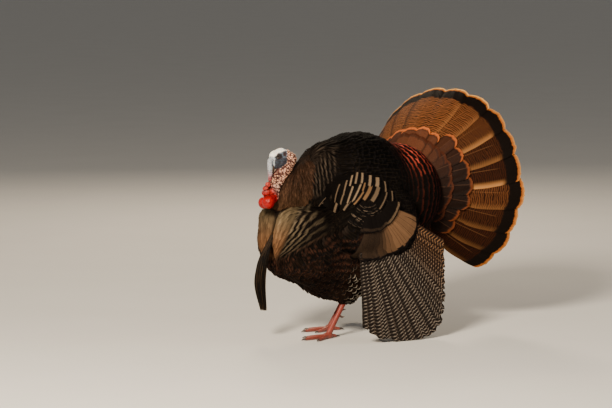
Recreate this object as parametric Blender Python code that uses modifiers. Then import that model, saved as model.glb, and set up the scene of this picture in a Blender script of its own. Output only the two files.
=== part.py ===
"""A wild turkey gobbler in full strut, as a still, life-size museum model.

Metres, +Z up. The bird faces -X and its left side is -Y. The solids' outer faces are the tips of the plumage.
Each soft mass is a few ellipsoids fused into one smooth body, which thin plane cuts then part into named pieces.
The design frame has the fan's root on the plane Y = 0 and the floor at Z = 0. The last step moves everything so
that the origin is under the middle of the bird's box.
"""

import math

import bmesh
import bpy
from mathutils import Matrix, Vector

GAP = 0.0004  # clearance between pieces that meet
FAR = 2.0  # half the side of a box that stands for a half-space

# Soft masses of the body: centre, radii, and the heading of the first radius, in degrees from +X towards +Y.
FAN_HEADING = 21.0
BODY_MASSES = {
    "breast_left": ((-0.312, -0.050, 0.314), (0.153, 0.115, 0.143), 0),
    "breast_right": ((-0.312, 0.050, 0.314), (0.153, 0.115, 0.143), 0),
    "crop": ((-0.335, 0.0, 0.345), (0.105, 0.105, 0.085), 0),
    "ruff": ((-0.328, 0.0, 0.464), (0.109, 0.085, 0.090), 0),
    "collar": ((-0.305, 0.0, 0.535), (0.074, 0.070, 0.050), 0),
    "crop_left": ((-0.376, -0.056, 0.381), (0.081, 0.088, 0.060), 0),
    "crop_right": ((-0.376, 0.056, 0.381), (0.081, 0.088, 0.060), 0),
    "mantle": ((-0.228, 0.0, 0.522), (0.115, 0.135, 0.115), 0),
    "back": ((-0.130, 0.0, 0.465), (0.190, 0.190, 0.197), 0),
    "flanks": ((-0.120, 0.0, 0.350), (0.200, 0.190, 0.180), 0),
    "belly": ((-0.195, 0.0, 0.272), (0.190, 0.165, 0.162), 0),
    "rump": ((0.015, 0.0, 0.455), (0.125, 0.170, 0.165), FAN_HEADING),
    "vent": ((0.015, 0.010, 0.315), (0.125, 0.130, 0.120), FAN_HEADING),
    "undertail": ((0.078, 0.020, 0.430), (0.078, 0.120, 0.125), FAN_HEADING),
}
NECK_CUT = ((-0.300, 0.0, 0.425), (-0.80, 0.0, 0.60))  # a point of the cut, and the way the neck lies
RUMP_CUT = ((-0.030, 0.0, 0.450), (0.90, 0.30, 0.10))

# The fan: feathers leave its root at one angle from its axis and end at a smaller one, like an umbrella's ribs.
FAN_ROOT = (0.0266, 0.0, 0.471)
FAN_LENGTH = 0.421
FAN_ANGLES = (66.5, 31.6)
FAN_PITCH = -1.2
FAN_SPREAD = 144.0  # from the top feather to the last on either side
FEATHER_HALF_WIDTH = 0.030
FAN_FEATHERS = 18
FAN_THICKNESS = 0.0030
COVERT_SHARE = 0.63  # how far along the fan's feathers their coverts reach
COVERT_SPREAD = 132.0
COVERT_FEATHERS = 14
COVERT_LIFT = 0.011  # from the fan's middle to the coverts' middle

# A wing: feathers spread like a hand-held fan from a point at the shoulder, and its tips rest on the floor.
WING_ROOT = (-0.220, 0.150, 0.470)  # Y is outwards from the midline
WING_THICKNESS = 0.0045
WING_INNER = 0.10
WING_FEATHER_STEP = 4.5  # degrees between feathers along the rim
LEFT_WING = {"side": -1, "droop": (30.0, 57.0, 93.0), "reach_back": 0.277, "bulge": 0.090}
RIGHT_WING = {"side": 1, "droop": (28.0, 48.0, 67.0), "reach_back": 0.258, "bulge": 0.085}
WING_CORNER = 0.505  # longest reach from the wing's root
SHOULDER_MASSES = (  # centre, radii and pitch, for a wing whose outward direction is +Y
    ((-0.205, 0.130, 0.462), (0.105, 0.078, 0.085), -12.0),
    ((-0.150, 0.165, 0.425), (0.155, 0.072, 0.102), -24.0),
    ((-0.210, 0.180, 0.372), (0.110, 0.060, 0.098), -10.0),
    ((-0.110, 0.190, 0.350), (0.110, 0.050, 0.100), -40.0),
)

# The head points along HEAD_AXIS from the middle of the skull to the bill's tip.
SKULL = (-0.4210, 0.0, 0.5865)
HEAD_PITCH = 53.0  # degrees that the bill points down
NECK_PATH = ((-0.379, 0.585), (-0.399, 0.548), (-0.424, 0.505), (-0.437, 0.476), (-0.420, 0.456), (-0.385, 0.450))
NECK_HALF_WIDTHS = (0.022, 0.0245, 0.0240, 0.0230, 0.021, 0.018)
NECK_HALF_DEPTHS = (0.020, 0.0225, 0.0210, 0.0200, 0.018, 0.016)
HEAD_CUT = ((-0.400, 0.0, 0.552), (-0.35, 0.0, -0.93))  # a point of the cut, and the way the neck lies
EYE_RADIUS = 0.0062
EYE_PLACE = (0.006, 0.0178, 0.0115)  # along, beside and above the head's axis

SNOOD_PATH = (
    (-0.4430, -0.002, 0.5850), (-0.4560, -0.006, 0.5780), (-0.4605, -0.013, 0.5600), (-0.4610, -0.0150, 0.5370),
    (-0.4615, -0.0130, 0.5140),
)
SNOOD_RADII = (0.0085, 0.0084, 0.0084, 0.0074, 0.0046)

WATTLE_BULBS = (  # centre and radius, the left side's first, from the lowest up
    (-0.4680, -0.0160, 0.4465, 0.0205), (-0.4700, -0.0080, 0.4780, 0.0115), (-0.4735, -0.0070, 0.4890, 0.0095),
    (-0.4640, -0.0060, 0.5015, 0.0085), (-0.4660, 0.0150, 0.4420, 0.0190), (-0.4640, 0.0110, 0.4740, 0.0115),
    (-0.4610, 0.0090, 0.4880, 0.0095), (-0.4560, 0.0070, 0.5000, 0.0085),
)

BEARD_PATH = ((-0.440, 0.338), (-0.464, 0.293), (-0.482, 0.246), (-0.490, 0.178), (-0.477, 0.096))
BEARD_HALF_WIDTHS = (0.007, 0.011, 0.016, 0.019, 0.012)
BEARD_HALF_DEPTHS = (0.006, 0.009, 0.012, 0.013, 0.007)

# Legs: where each foot stands, in X and Y outwards.
FEET = {"left": (-1, -0.276, 0.072), "right": (1, -0.188, 0.068)}
SHANK_LENGTH = 0.160
SHANK_LEAN = 30.0  # degrees from upright, back towards the hock
TOES = {"inner": (24.0, 0.072), "middle": (-4.0, 0.092), "outer": (-34.0, 0.074), "hind": (168.0, 0.032)}
TOE_RADIUS = 0.0070
CLAW_LENGTH = 0.016

COLOURS = {
    "plumage": ((0.020, 0.014, 0.010), 0.55, 0.2),
    "fan": ((0.16, 0.07, 0.03), 0.60, 0.0),
    "wing": ((0.11, 0.08, 0.05), 0.60, 0.0),
    "skin": ((0.42, 0.40, 0.46), 0.45, 0.0),
    "wattle": ((0.62, 0.02, 0.02), 0.40, 0.0),
    "bill": ((0.33, 0.22, 0.15), 0.35, 0.0),
    "eye": ((0.03, 0.015, 0.01), 0.08, 0.0),
    "leg": ((0.42, 0.13, 0.10), 0.50, 0.0),
    "claw": ((0.05, 0.035, 0.03), 0.35, 0.0),
    "beard": ((0.012, 0.010, 0.009), 0.60, 0.0),
}


# ---------------------------------------------------------------- modelling tools


def clear_scene():
    for obj in list(bpy.data.objects):
        bpy.data.objects.remove(obj)


def material(name):
    if name in bpy.data.materials:
        return bpy.data.materials[name]
    colour, roughness, metallic = COLOURS[name]
    made = bpy.data.materials.new(name)
    made.use_nodes = True
    shader = made.node_tree.nodes["Principled BSDF"]
    shader.inputs["Base Color"].default_value = (*colour, 1.0)
    shader.inputs["Roughness"].default_value = roughness
    shader.inputs["Metallic"].default_value = metallic
    return made


def object_of(name, bm):
    """Links a new object that holds this bmesh, in world coordinates."""
    mesh = bpy.data.meshes.new(name)
    bm.to_mesh(mesh)
    bm.free()
    obj = bpy.data.objects.new(name, mesh)
    bpy.context.scene.collection.objects.link(obj)
    return obj


def discard(*objects):
    for obj in objects:
        bpy.data.objects.remove(obj)


def baked(obj):
    """Replaces the object's mesh with what its modifiers make of it."""
    graph = bpy.context.evaluated_depsgraph_get()
    mesh = bpy.data.meshes.new_from_object(obj.evaluated_get(graph))
    obj.modifiers.clear()
    obj.data = mesh
    return obj


def ellipsoid(centre, radii, heading=0.0, pitch=0.0, segments=20):
    """An ellipsoid whose first radius points at heading (from +X towards +Y) and pitch (up), in degrees."""
    bm = bmesh.new()
    bmesh.ops.create_uvsphere(bm, u_segments=segments, v_segments=segments * 3 // 5, radius=1.0)
    turn = Matrix.Rotation(math.radians(heading), 4, "Z") @ Matrix.Rotation(math.radians(-pitch), 4, "Y")
    bm.transform(Matrix.Translation(centre) @ turn @ Matrix.Diagonal((*radii, 1.0)))
    return object_of("ellipsoid", bm)


def smooth_path(points, steps):
    """Points along a Catmull-Rom curve through these Vectors, with steps to each span."""
    ends = [2 * points[0] - points[1], *points, 2 * points[-1] - points[-2]]
    path = []
    for a, b, c, d in zip(ends, ends[1:], ends[2:], ends[3:]):
        for k in range(steps):
            t = k / steps
            path.append(
                0.5 * (2 * b + (c - a) * t + (2 * a - 5 * b + 4 * c - d) * t**2 + (3 * b - a - 3 * c + d) * t**3)
            )
    return [*path, points[-1].copy()]


def limb(name, points, wides, deeps, steps=3, sides=10, across=(0, 1, 0)):
    """A closed tube along a smooth path, with an elliptical section that changes along it.

    wides are the half-widths along the vector across, and deeps those at right angles to it and to the path.
    """
    path = smooth_path([Vector(p) for p in points], steps)
    count = len(path)
    sizes = smooth_path([Vector((w, d, 0)) for w, d in zip(wides, deeps)], steps)
    bm = bmesh.new()
    rings = []
    for i, (middle, size) in enumerate(zip(path, sizes)):
        along = (path[min(i + 1, count - 1)] - path[max(i - 1, 0)]).normalized()
        wide = (Vector(across) - along * along.dot(Vector(across))).normalized()
        deep = along.cross(wide)
        ring = []
        for k in range(sides):
            turn = 2 * math.pi * k / sides
            ring.append(bm.verts.new(middle + wide * size.x * math.cos(turn) + deep * size.y * math.sin(turn)))
        rings.append(ring)
    for low, high in zip(rings, rings[1:]):
        for k in range(sides):
            bm.faces.new((low[k], low[(k + 1) % sides], high[(k + 1) % sides], high[k]))
    bm.faces.new(reversed(rings[0]))
    bm.faces.new(rings[-1])
    bmesh.ops.recalc_face_normals(bm, faces=bm.faces)
    return object_of(name, bm)


def sheet(name, place, rows, columns, thickness):
    """A curved sheet of even thickness: place(u, v), with u and v from 0 to 1, gives its middle surface."""
    bm = bmesh.new()
    grid = [[bm.verts.new(place(i / rows, j / columns)) for j in range(columns + 1)] for i in range(rows + 1)]
    for i in range(rows):
        for j in range(columns):
            bm.faces.new((grid[i][j], grid[i + 1][j], grid[i + 1][j + 1], grid[i][j + 1]))
    obj = object_of(name, bm)
    solid = obj.modifiers.new("thickness", "SOLIDIFY")
    solid.thickness = thickness
    solid.offset = 0.0
    baked(obj)
    return face_outwards(obj)


def face_outwards(obj):
    bm = bmesh.new()
    bm.from_mesh(obj.data)
    bmesh.ops.recalc_face_normals(bm, faces=bm.faces)
    bm.to_mesh(obj.data)
    bm.free()
    return obj


def fused(name, pieces, voxel, faces, smoothing=6):
    """One smooth closed body around these pieces, which it uses up, with about that many triangles."""
    bm = bmesh.new()
    for piece in pieces:
        bm.from_mesh(piece.data)
    discard(*pieces)
    obj = object_of(name, bm)
    remesh = obj.modifiers.new("skin", "REMESH")
    remesh.mode = "VOXEL"
    remesh.voxel_size = voxel
    ease = obj.modifiers.new("ease", "SMOOTH")
    ease.factor = 0.5
    ease.iterations = smoothing
    baked(obj)
    thin = obj.modifiers.new("thin", "DECIMATE")
    thin.ratio = min(1.0, faces / (2 * len(obj.data.polygons)))
    return baked(obj)


def grown(obj, by):
    """A copy of the object with its surface moved outwards."""
    bm = bmesh.new()
    bm.from_mesh(obj.data)
    bm.normal_update()
    for vertex, normal in [(v, v.normal.copy()) for v in bm.verts]:
        vertex.co += normal * by
    return object_of("grown", bm)


def largest_body(obj):
    """Drops all but the largest connected body of a mesh."""
    bm = bmesh.new()
    bm.from_mesh(obj.data)
    left = set(bm.verts)
    bodies = []
    while left:
        stack = [left.pop()]
        body = set(stack)
        while stack:
            for edge in stack.pop().link_edges:
                for vertex in edge.verts:
                    if vertex in left:
                        left.discard(vertex)
                        body.add(vertex)
                        stack.append(vertex)
        bodies.append(body)
    keep = max(bodies, key=len)
    bmesh.ops.delete(bm, geom=[v for v in bm.verts if v not in keep], context="VERTS")
    bm.to_mesh(obj.data)
    bm.free()
    return obj


def boolean(obj, other, operation):
    cut = obj.modifiers.new(operation.lower(), "BOOLEAN")
    cut.operation = operation
    cut.object = other
    baked(obj)
    discard(other)
    return largest_body(obj)


def carve(obj, *neighbours, gap=GAP):
    """Cuts from the object what its neighbours fill, and a thin gap round them."""
    for neighbour in neighbours:
        boolean(obj, grown(neighbour, gap), "DIFFERENCE")
    return obj


def half_space(point, direction):
    """A large box whose near face holds the point and which lies on that side."""
    bm = bmesh.new()
    bmesh.ops.create_cube(bm, size=2 * FAR)
    turn = Vector(direction).to_track_quat("Z", "Y").to_matrix().to_4x4()
    bm.transform(Matrix.Translation(Vector(point)) @ turn @ Matrix.Translation((0, 0, FAR)))
    return object_of("half_space", bm)


def copy_of(obj, name):
    twin = bpy.data.objects.new(name, obj.data.copy())
    bpy.context.scene.collection.objects.link(twin)
    return twin


def parted(obj, name, cut):
    """Cuts a piece off along a plane and returns it under that name. The object keeps the rest."""
    point, direction = Vector(cut[0]), Vector(cut[1]).normalized()
    piece = copy_of(obj, name)
    boolean(piece, half_space(point + direction * GAP / 2, direction), "INTERSECT")
    boolean(obj, half_space(point - direction * GAP / 2, -direction), "INTERSECT")
    return piece


def finish(obj, colour, angle=50.0):
    obj.data.materials.clear()
    obj.data.materials.append(material(colour))
    obj.data.shade_smooth()
    obj.data.set_sharp_from_angle(angle=math.radians(angle))
    return obj


# ---------------------------------------------------------------- body


def build_body():
    """The feathered body whole, for cutting its neighbours, and in three pieces: trunk, neck and rump."""
    masses = [ellipsoid(centre, radii, heading) for centre, radii, heading in BODY_MASSES.values()]
    trunk = fused("trunk", masses, voxel=0.009, faces=1500, smoothing=14)
    whole = copy_of(trunk, "whole")
    neck = parted(trunk, "neck_ruff", NECK_CUT)
    rump = parted(trunk, "rump", RUMP_CUT)
    return whole, [trunk, neck, rump]


def build_thigh(side_name, body):
    side, foot_x, foot_y = FEET[side_name]
    hock_x = foot_x + SHANK_LENGTH * math.sin(math.radians(SHANK_LEAN))
    knee = (hock_x - 0.028, side * (foot_y + 0.004), 0.200)
    thigh = ellipsoid(knee, (0.050, 0.042, 0.092), segments=14)
    thigh.name = f"thigh_{side_name}"
    return carve(thigh, body)


# ---------------------------------------------------------------- tail


def fan_frame():
    """The fan's axis, its upward direction and the direction towards the bird's left."""
    heading = math.radians(FAN_HEADING)
    axis = Vector((math.cos(heading), math.sin(heading), math.tan(math.radians(FAN_PITCH)))).normalized()
    up = (Vector((0, 0, 1)) - axis * axis.z).normalized()
    return axis, up, up.cross(axis) * -1


def fan_place(turn, along, lift=0.0):
    """A point of the fan: turn is the angle from its top feather, along the distance from the root."""
    axis, up, left = fan_frame()
    first, last = (math.radians(a) for a in FAN_ANGLES)
    bend = (last - first) / FAN_LENGTH
    slope = first + bend * along
    outwards = (math.cos(first) - math.cos(slope)) / bend
    forwards = (math.sin(slope) - math.sin(first)) / bend
    radial = up * math.cos(turn) + left * math.sin(turn)
    normal = radial * math.cos(slope) - axis * math.sin(slope)
    return Vector(FAN_ROOT) + radial * outwards + axis * forwards + normal * lift


def scallop(share, feathers):
    """How short the rim is at this share of the way round a row of round-ended feathers, from 0 to 1."""
    across = (share * feathers) % 1.0 * 2 - 1
    return 1 - math.sqrt(max(0.0, 1 - 0.85 * across**2))


def fan_sheet(name, low, high, length, spread, feathers, lift, thickness, rows):
    """Part of the fan or of its coverts, from the share low to the share high of its turn."""
    columns = round((high - low) * feathers) * 3

    def place(u, v):
        share = low + (high - low) * v
        reach = length - 0.022 * scallop(share, feathers)
        along = 0.06 + (reach - 0.06) * u
        edge = math.radians(spread) + FEATHER_HALF_WIDTH / along
        return fan_place(edge * (1 - 2 * share), along, lift)

    return sheet(name, place, rows, columns, thickness)


def build_tail(*solids):
    """Three pieces of the fan and two of its coverts, which start where the body's feathers end."""
    pieces = []
    edges = {"left": (0.0, 1 / 3), "centre": (1 / 3, 2 / 3), "right": (2 / 3, 1.0)}
    slit = 0.0005
    for name, (low, high) in edges.items():
        pieces.append(
            fan_sheet(
                f"tail_fan_{name}", low + slit, high - slit, FAN_LENGTH, FAN_SPREAD, FAN_FEATHERS,
                0.0, FAN_THICKNESS, 3,
            )
        )
    for name, low, high in (("left", 0.0, 0.5), ("right", 0.5, 1.0)):
        pieces.append(
            fan_sheet(
                f"tail_coverts_{name}", low + slit, high - slit, FAN_LENGTH * COVERT_SHARE, COVERT_SPREAD,
                COVERT_FEATHERS, COVERT_LIFT, 0.005, 3,
            )
        )
    for piece in pieces:
        carve(piece, *solids)
    return pieces


# ---------------------------------------------------------------- wings


def wing_reach(wing, droop):
    """How far the wing's feathers reach from its root at this angle below the level."""
    back = wing["reach_back"] / max(math.cos(droop), 0.05)
    down = (WING_ROOT[2] + 0.005) / max(math.sin(droop), 0.05)
    sharpness = 7
    return (back**-sharpness + down**-sharpness) ** (-1 / sharpness)


def wing_place(wing, droop, reach, lift=0.0):
    """A point of the wing: it swells out from the shoulder, then hangs almost upright."""
    share = reach / WING_CORNER
    outwards = WING_ROOT[1] + wing["bulge"] * math.sin(min(share, 1.0) * math.pi / 2) ** 0.8 + lift
    x = WING_ROOT[0] + reach * math.cos(droop)
    z = WING_ROOT[2] - reach * math.sin(droop)
    return Vector((x, wing["side"] * outwards, z))


def wing_sheet(name, wing, low, high):
    columns = round((high - low) / WING_FEATHER_STEP) * 2

    def place(u, v):
        droop = math.radians(low + (high - low) * v)
        rim = wing_reach(wing, droop) - 0.012 * scallop((low + (high - low) * v) / WING_FEATHER_STEP, 1)
        reach = WING_INNER + (rim - WING_INNER) * u
        return wing_place(wing, droop, reach)

    return sheet(name, place, 3, columns, WING_THICKNESS)


def build_wing(side_name, wing, body):
    """Secondaries, primaries and the thick feathered shoulder over their roots."""
    top, middle, low = wing["droop"]
    slit = 0.1
    secondaries = wing_sheet(f"wing_{side_name}_secondaries", wing, top, middle - slit)
    primaries = wing_sheet(f"wing_{side_name}_primaries", wing, middle + slit, low)
    masses = [
        ellipsoid((x, wing["side"] * y, z), radii, pitch=pitch) for (x, y, z), radii, pitch in SHOULDER_MASSES
    ]
    shoulder = fused(f"wing_{side_name}_shoulder", masses, voxel=0.008, faces=210, smoothing=14)
    carve(shoulder, body)
    for piece in (secondaries, primaries):
        boolean(piece, half_space((0, 0, 0), (0, 0, 1)), "INTERSECT")
        carve(piece, shoulder, body)
    return shoulder, secondaries, primaries


# ---------------------------------------------------------------- head


def head_point(along, beside, above):
    """A point given along the head's axis, to its left, and above it."""
    pitch = math.radians(HEAD_PITCH)
    forwards = Vector((-math.cos(pitch), 0, -math.sin(pitch)))
    upwards = Vector((-math.sin(pitch), 0, math.cos(pitch)))
    return Vector(SKULL) + forwards * along + Vector((0, -beside, 0)) + upwards * above


def head_ellipsoid(place, radii):
    return ellipsoid(head_point(*place), radii, heading=180, pitch=-HEAD_PITCH, segments=18)


def build_head(body):
    """Head and bare neck, fused and then parted, and the eyes, bill, snood and wattle that sit on them."""
    masses = [
        head_ellipsoid((0.0, 0, 0.0), (0.034, 0.0220, 0.0250)),
        head_ellipsoid((0.022, 0, -0.003), (0.021, 0.0145, 0.0170)),
        head_ellipsoid((0.004, 0.010, -0.010), (0.020, 0.0125, 0.0155)),
        head_ellipsoid((0.004, -0.010, -0.010), (0.020, 0.0125, 0.0155)),
        head_ellipsoid((-0.0174, 0, -0.0360), (0.024, 0.0235, 0.0230)),
        ellipsoid((-0.3975, 0, 0.5895), (0.0240, 0.0185, 0.0222), segments=18),
        ellipsoid((-0.4365, 0, 0.5910), (0.0185, 0.0160, 0.0190), segments=18),
        ellipsoid((-0.436, 0, 0.513), (0.021, 0.020, 0.028), segments=18),
        limb("bare_neck", [(x, 0, z) for x, z in NECK_PATH], NECK_HALF_WIDTHS, NECK_HALF_DEPTHS),
    ]
    head = fused("head", masses, voxel=0.0035, faces=560, smoothing=4)
    neck_bare = parted(head, "neck_bare", HEAD_CUT)
    carve(neck_bare, body, gap=3 * GAP)
    carve(head, body)
    eyes = []
    for name, side in (("eye_left", 1), ("eye_right", -1)):
        along, beside, above = EYE_PLACE
        eye = ellipsoid(head_point(along, side * beside, above), (EYE_RADIUS,) * 3, segments=8)
        eye.name = name
        carve(head, eye)
        eyes.append(eye)
    bill_upper = limb(
        "bill_upper",
        [head_point(*p) for p in ((0.022, 0, 0.001), (0.036, 0, 0.001), (0.049, 0, -0.002), (0.0605, 0, -0.0105))],
        (0.0120, 0.0105, 0.0076, 0.0022),
        (0.0085, 0.0082, 0.0062, 0.0026),
        steps=2,
        sides=10,
    )
    bill_lower = limb(
        "bill_lower",
        [head_point(*p) for p in ((0.020, 0, -0.0110), (0.034, 0, -0.0108), (0.046, 0, -0.0106), (0.0550, 0, -0.0118))],
        (0.0105, 0.0092, 0.0064, 0.0022),
        (0.0050, 0.0046, 0.0036, 0.0014),
        steps=2,
        sides=10,
    )
    carve(bill_upper, head, neck_bare)
    carve(bill_lower, head, neck_bare, bill_upper)
    snood = limb("snood", SNOOD_PATH, SNOOD_RADII, SNOOD_RADII, steps=2, sides=8)
    carve(snood, head, neck_bare, bill_upper, bill_lower)
    return head, neck_bare, eyes, bill_upper, bill_lower, snood


def build_wattle(*solids):
    """The red bulbs at the foot of the bare neck, largest lowest, on both sides of the midline."""
    bulbs = [ellipsoid((-0.452, 0, 0.458), (0.019, 0.022, 0.029), segments=14)]
    for x, y, z, radius in WATTLE_BULBS:
        bulbs.append(ellipsoid((x, y, z), (radius, radius * 0.95, radius), segments=14))
    wattle = fused("wattle", bulbs, voxel=0.003, faces=320, smoothing=2)
    return carve(wattle, *solids)


# ---------------------------------------------------------------- legs and beard


def build_leg(side_name, thigh, body):
    """Shank, spur, foot and claws. The foot's underside is flat on the floor."""
    side, foot_x, foot_y = FEET[side_name]
    y = side * foot_y
    lean = math.radians(SHANK_LEAN)
    ankle = Vector((foot_x, y, 0.016))
    hock = ankle + Vector((math.sin(lean), 0, math.cos(lean))) * SHANK_LENGTH
    shank = limb(
        f"shank_{side_name}",
        (ankle, ankle.lerp(hock, 0.35), ankle.lerp(hock, 0.75), hock),
        (0.0088, 0.0068, 0.0075, 0.0098),
        (0.0105, 0.0082, 0.0092, 0.0115),
        steps=2,
        sides=8,
    )
    toes = [ellipsoid((foot_x - 0.004, y, 0.0095), (0.017, 0.015, 0.0115), segments=14)]
    claws = []
    for toe, (spread, length) in TOES.items():
        heading = math.radians(180 + side * spread)
        ahead = Vector((math.cos(heading), math.sin(heading), 0))
        start = Vector((foot_x, y, 0.010))
        tip = start + ahead * length
        tip.z = 0.0052
        toes.append(
            limb(
                "toe",
                (start, start.lerp(tip, 0.5), tip),
                (TOE_RADIUS, TOE_RADIUS * 0.92, TOE_RADIUS * 0.68),
                (TOE_RADIUS, TOE_RADIUS * 0.90, TOE_RADIUS * 0.66),
                across=(-ahead.y, ahead.x, 0),
                sides=8,
            )
        )
        point = tip + ahead * CLAW_LENGTH
        point.z = 0.0022
        middle = tip + ahead * CLAW_LENGTH * 0.45
        middle.z = 0.0060
        claws.append(
            limb(
                f"claw_{side_name}_{toe}",
                (tip - ahead * 0.002, middle, point),
                (0.0040, 0.0032, 0.0009),
                (0.0040, 0.0031, 0.0009),
                steps=1,
                across=(-ahead.y, ahead.x, 0),
                sides=6,
            )
        )
    foot = fused(f"foot_{side_name}", toes, voxel=0.0022, faces=300, smoothing=2)
    boolean(foot, half_space((0, 0, 0), (0, 0, 1)), "INTERSECT")
    carve(shank, thigh, body)
    carve(foot, shank)
    for claw in claws:
        carve(claw, foot)
    spur_root = ankle.lerp(hock, 0.42)
    backwards = Vector((math.cos(lean), 0, -math.sin(lean)))
    spur = limb(
        f"spur_{side_name}",
        (spur_root, spur_root + backwards * 0.016, spur_root + backwards * 0.029 + Vector((0, 0, 0.007))),
        (0.0052, 0.0038, 0.0008),
        (0.0052, 0.0038, 0.0008),
        steps=2,
        sides=6,
    )
    carve(spur, shank)
    return [shank, spur, foot, *claws]


def build_beard(*solids):
    beard = limb(
        "beard",
        [(x, 0, z) for x, z in BEARD_PATH],
        BEARD_HALF_WIDTHS,
        BEARD_HALF_DEPTHS,
        steps=2,
        sides=8,
    )
    return carve(beard, *solids)


def move_to_origin(objects):
    """Sets the origin on the floor under the middle of the whole bird's box."""
    corners = [v.co for obj in objects for v in obj.data.vertices]
    middle = [(min(c[i] for c in corners) + max(c[i] for c in corners)) / 2 for i in (0, 1)]
    for obj in objects:
        obj.data.transform(Matrix.Translation((-middle[0], -middle[1], 0)))


def main():
    clear_scene()
    body, body_pieces = build_body()
    coloured = [(piece, "plumage") for piece in body_pieces]
    wings = []
    for side_name, wing in (("left", LEFT_WING), ("right", RIGHT_WING)):
        shoulder, *feathers = build_wing(side_name, wing, body)
        wings += [shoulder, *feathers]
        coloured.append((shoulder, "plumage"))
        coloured += [(piece, "wing") for piece in feathers]
    coloured += [(piece, "fan") for piece in build_tail(body, *wings)]
    head, neck_bare, eyes, bill_upper, bill_lower, snood = build_head(body)
    wattle = build_wattle(neck_bare, body, snood)
    coloured += [(head, "skin"), (neck_bare, "skin"), (wattle, "wattle"), (snood, "wattle")]
    coloured += [(bill_upper, "bill"), (bill_lower, "bill")]
    coloured += [(eye, "eye") for eye in eyes]
    coloured.append((build_beard(body), "beard"))
    for side_name in FEET:
        thigh = build_thigh(side_name, body)
        coloured.append((thigh, "plumage"))
        for piece in build_leg(side_name, thigh, body):
            coloured.append((piece, "claw" if piece.name.startswith(("claw", "spur")) else "leg"))
    discard(body)
    bird = bpy.data.collections.new("wild_turkey")
    bpy.context.scene.collection.children.link(bird)
    for obj, colour in coloured:
        finish(obj, colour)
        bpy.context.scene.collection.objects.unlink(obj)
        bird.objects.link(obj)
    move_to_origin([obj for obj, _ in coloured])


main()
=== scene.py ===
"""Looks for a wild turkey gobbler in strut: skin, plumage, head, legs, light and camera."""

import math

import bmesh
import bpy
import numpy as np
from mathutils import Matrix, Vector, noise
from mathutils.bvhtree import BVHTree


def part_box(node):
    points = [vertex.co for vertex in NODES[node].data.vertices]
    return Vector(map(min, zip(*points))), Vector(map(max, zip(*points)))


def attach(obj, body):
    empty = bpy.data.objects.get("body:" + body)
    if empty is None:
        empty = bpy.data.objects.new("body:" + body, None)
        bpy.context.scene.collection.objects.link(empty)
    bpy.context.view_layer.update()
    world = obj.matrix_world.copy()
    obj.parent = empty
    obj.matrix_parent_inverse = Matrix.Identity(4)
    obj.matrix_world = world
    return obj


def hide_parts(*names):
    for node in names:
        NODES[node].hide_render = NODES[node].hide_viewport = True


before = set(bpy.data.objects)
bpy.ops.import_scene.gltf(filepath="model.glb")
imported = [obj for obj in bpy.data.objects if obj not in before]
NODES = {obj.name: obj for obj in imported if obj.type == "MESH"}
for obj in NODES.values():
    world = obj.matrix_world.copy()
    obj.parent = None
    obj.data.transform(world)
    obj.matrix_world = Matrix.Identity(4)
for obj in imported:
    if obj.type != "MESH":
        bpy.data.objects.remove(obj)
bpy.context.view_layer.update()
RNG = np.random.default_rng(7)

TURN = 6.283  # a full turn in radians, for waves in materials

# The head's frame: AHEAD along the face, ABOVE the skull. EYE_PLACE is an eye's place ahead, aside and above.
HEAD_PITCH = math.radians(53.0)
AHEAD = Vector((-math.cos(HEAD_PITCH), 0, -math.sin(HEAD_PITCH)))
ABOVE = Vector((-math.sin(HEAD_PITCH), 0, math.cos(HEAD_PITCH)))
SKULL_DESIGN = Vector((-0.4210, 0.0, 0.5865))
EYE_PLACE = (0.006, 0.0178, 0.0115)

# Places below are in the design's frame, with the fan's root on Y = 0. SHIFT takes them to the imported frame.
EYE_MIDDLE = sum(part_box("eye_left"), Vector()) / 2
EYE_DESIGN = SKULL_DESIGN + AHEAD * EYE_PLACE[0] + Vector((0, -EYE_PLACE[1], 0)) + ABOVE * EYE_PLACE[2]
SHIFT = EYE_MIDDLE - EYE_DESIGN
SHIFT = Vector((round(SHIFT.x, 4), round(SHIFT.y, 4), 0.0))
SHIFT_NP = np.array(SHIFT)
SKULL = SKULL_DESIGN + SHIFT


def design(points):
    """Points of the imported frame, in the design's frame."""
    return points - SHIFT_NP


# ---------------------------------------------------------------- camera and light


def add_camera():
    """A long lens to the bird's left and front, a little raised. width is what it shows from side to side
    at the bird; aside and height are where it aims."""
    azimuth, elevation, distance, width = math.radians(-30), math.radians(6), 9.0, 2.0196
    aside, height = -0.2772, 0.4125
    level = Vector((math.sin(azimuth), -math.cos(azimuth), 0)) * math.cos(elevation)
    back = level + Vector((0, 0, math.sin(elevation)))
    right = Vector((math.cos(azimuth), math.sin(azimuth), 0))
    up = back.cross(right)
    data = bpy.data.cameras.new("camera")
    data.sensor_width = 36
    data.lens = data.sensor_width * distance / width
    data.clip_end = 150
    pose = Matrix((right, up, back)).transposed().to_4x4()
    pose.translation = SHIFT + right * aside + up * height + back * distance
    camera = link(bpy.data.objects.new("camera", data))
    camera.matrix_world = pose
    bpy.context.scene.camera = camera


def add_light(name, place, aim, size, power, colour):
    """A round lamp that looks at aim."""
    data = bpy.data.lights.new(name, "AREA")
    data.shape = "DISK"
    data.size = size
    data.energy = power
    data.color = colour
    light = link(bpy.data.objects.new(name, data))
    light.location = place
    light.rotation_euler = (Vector(aim) - Vector(place)).to_track_quat("-Z", "Y").to_euler()


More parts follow.
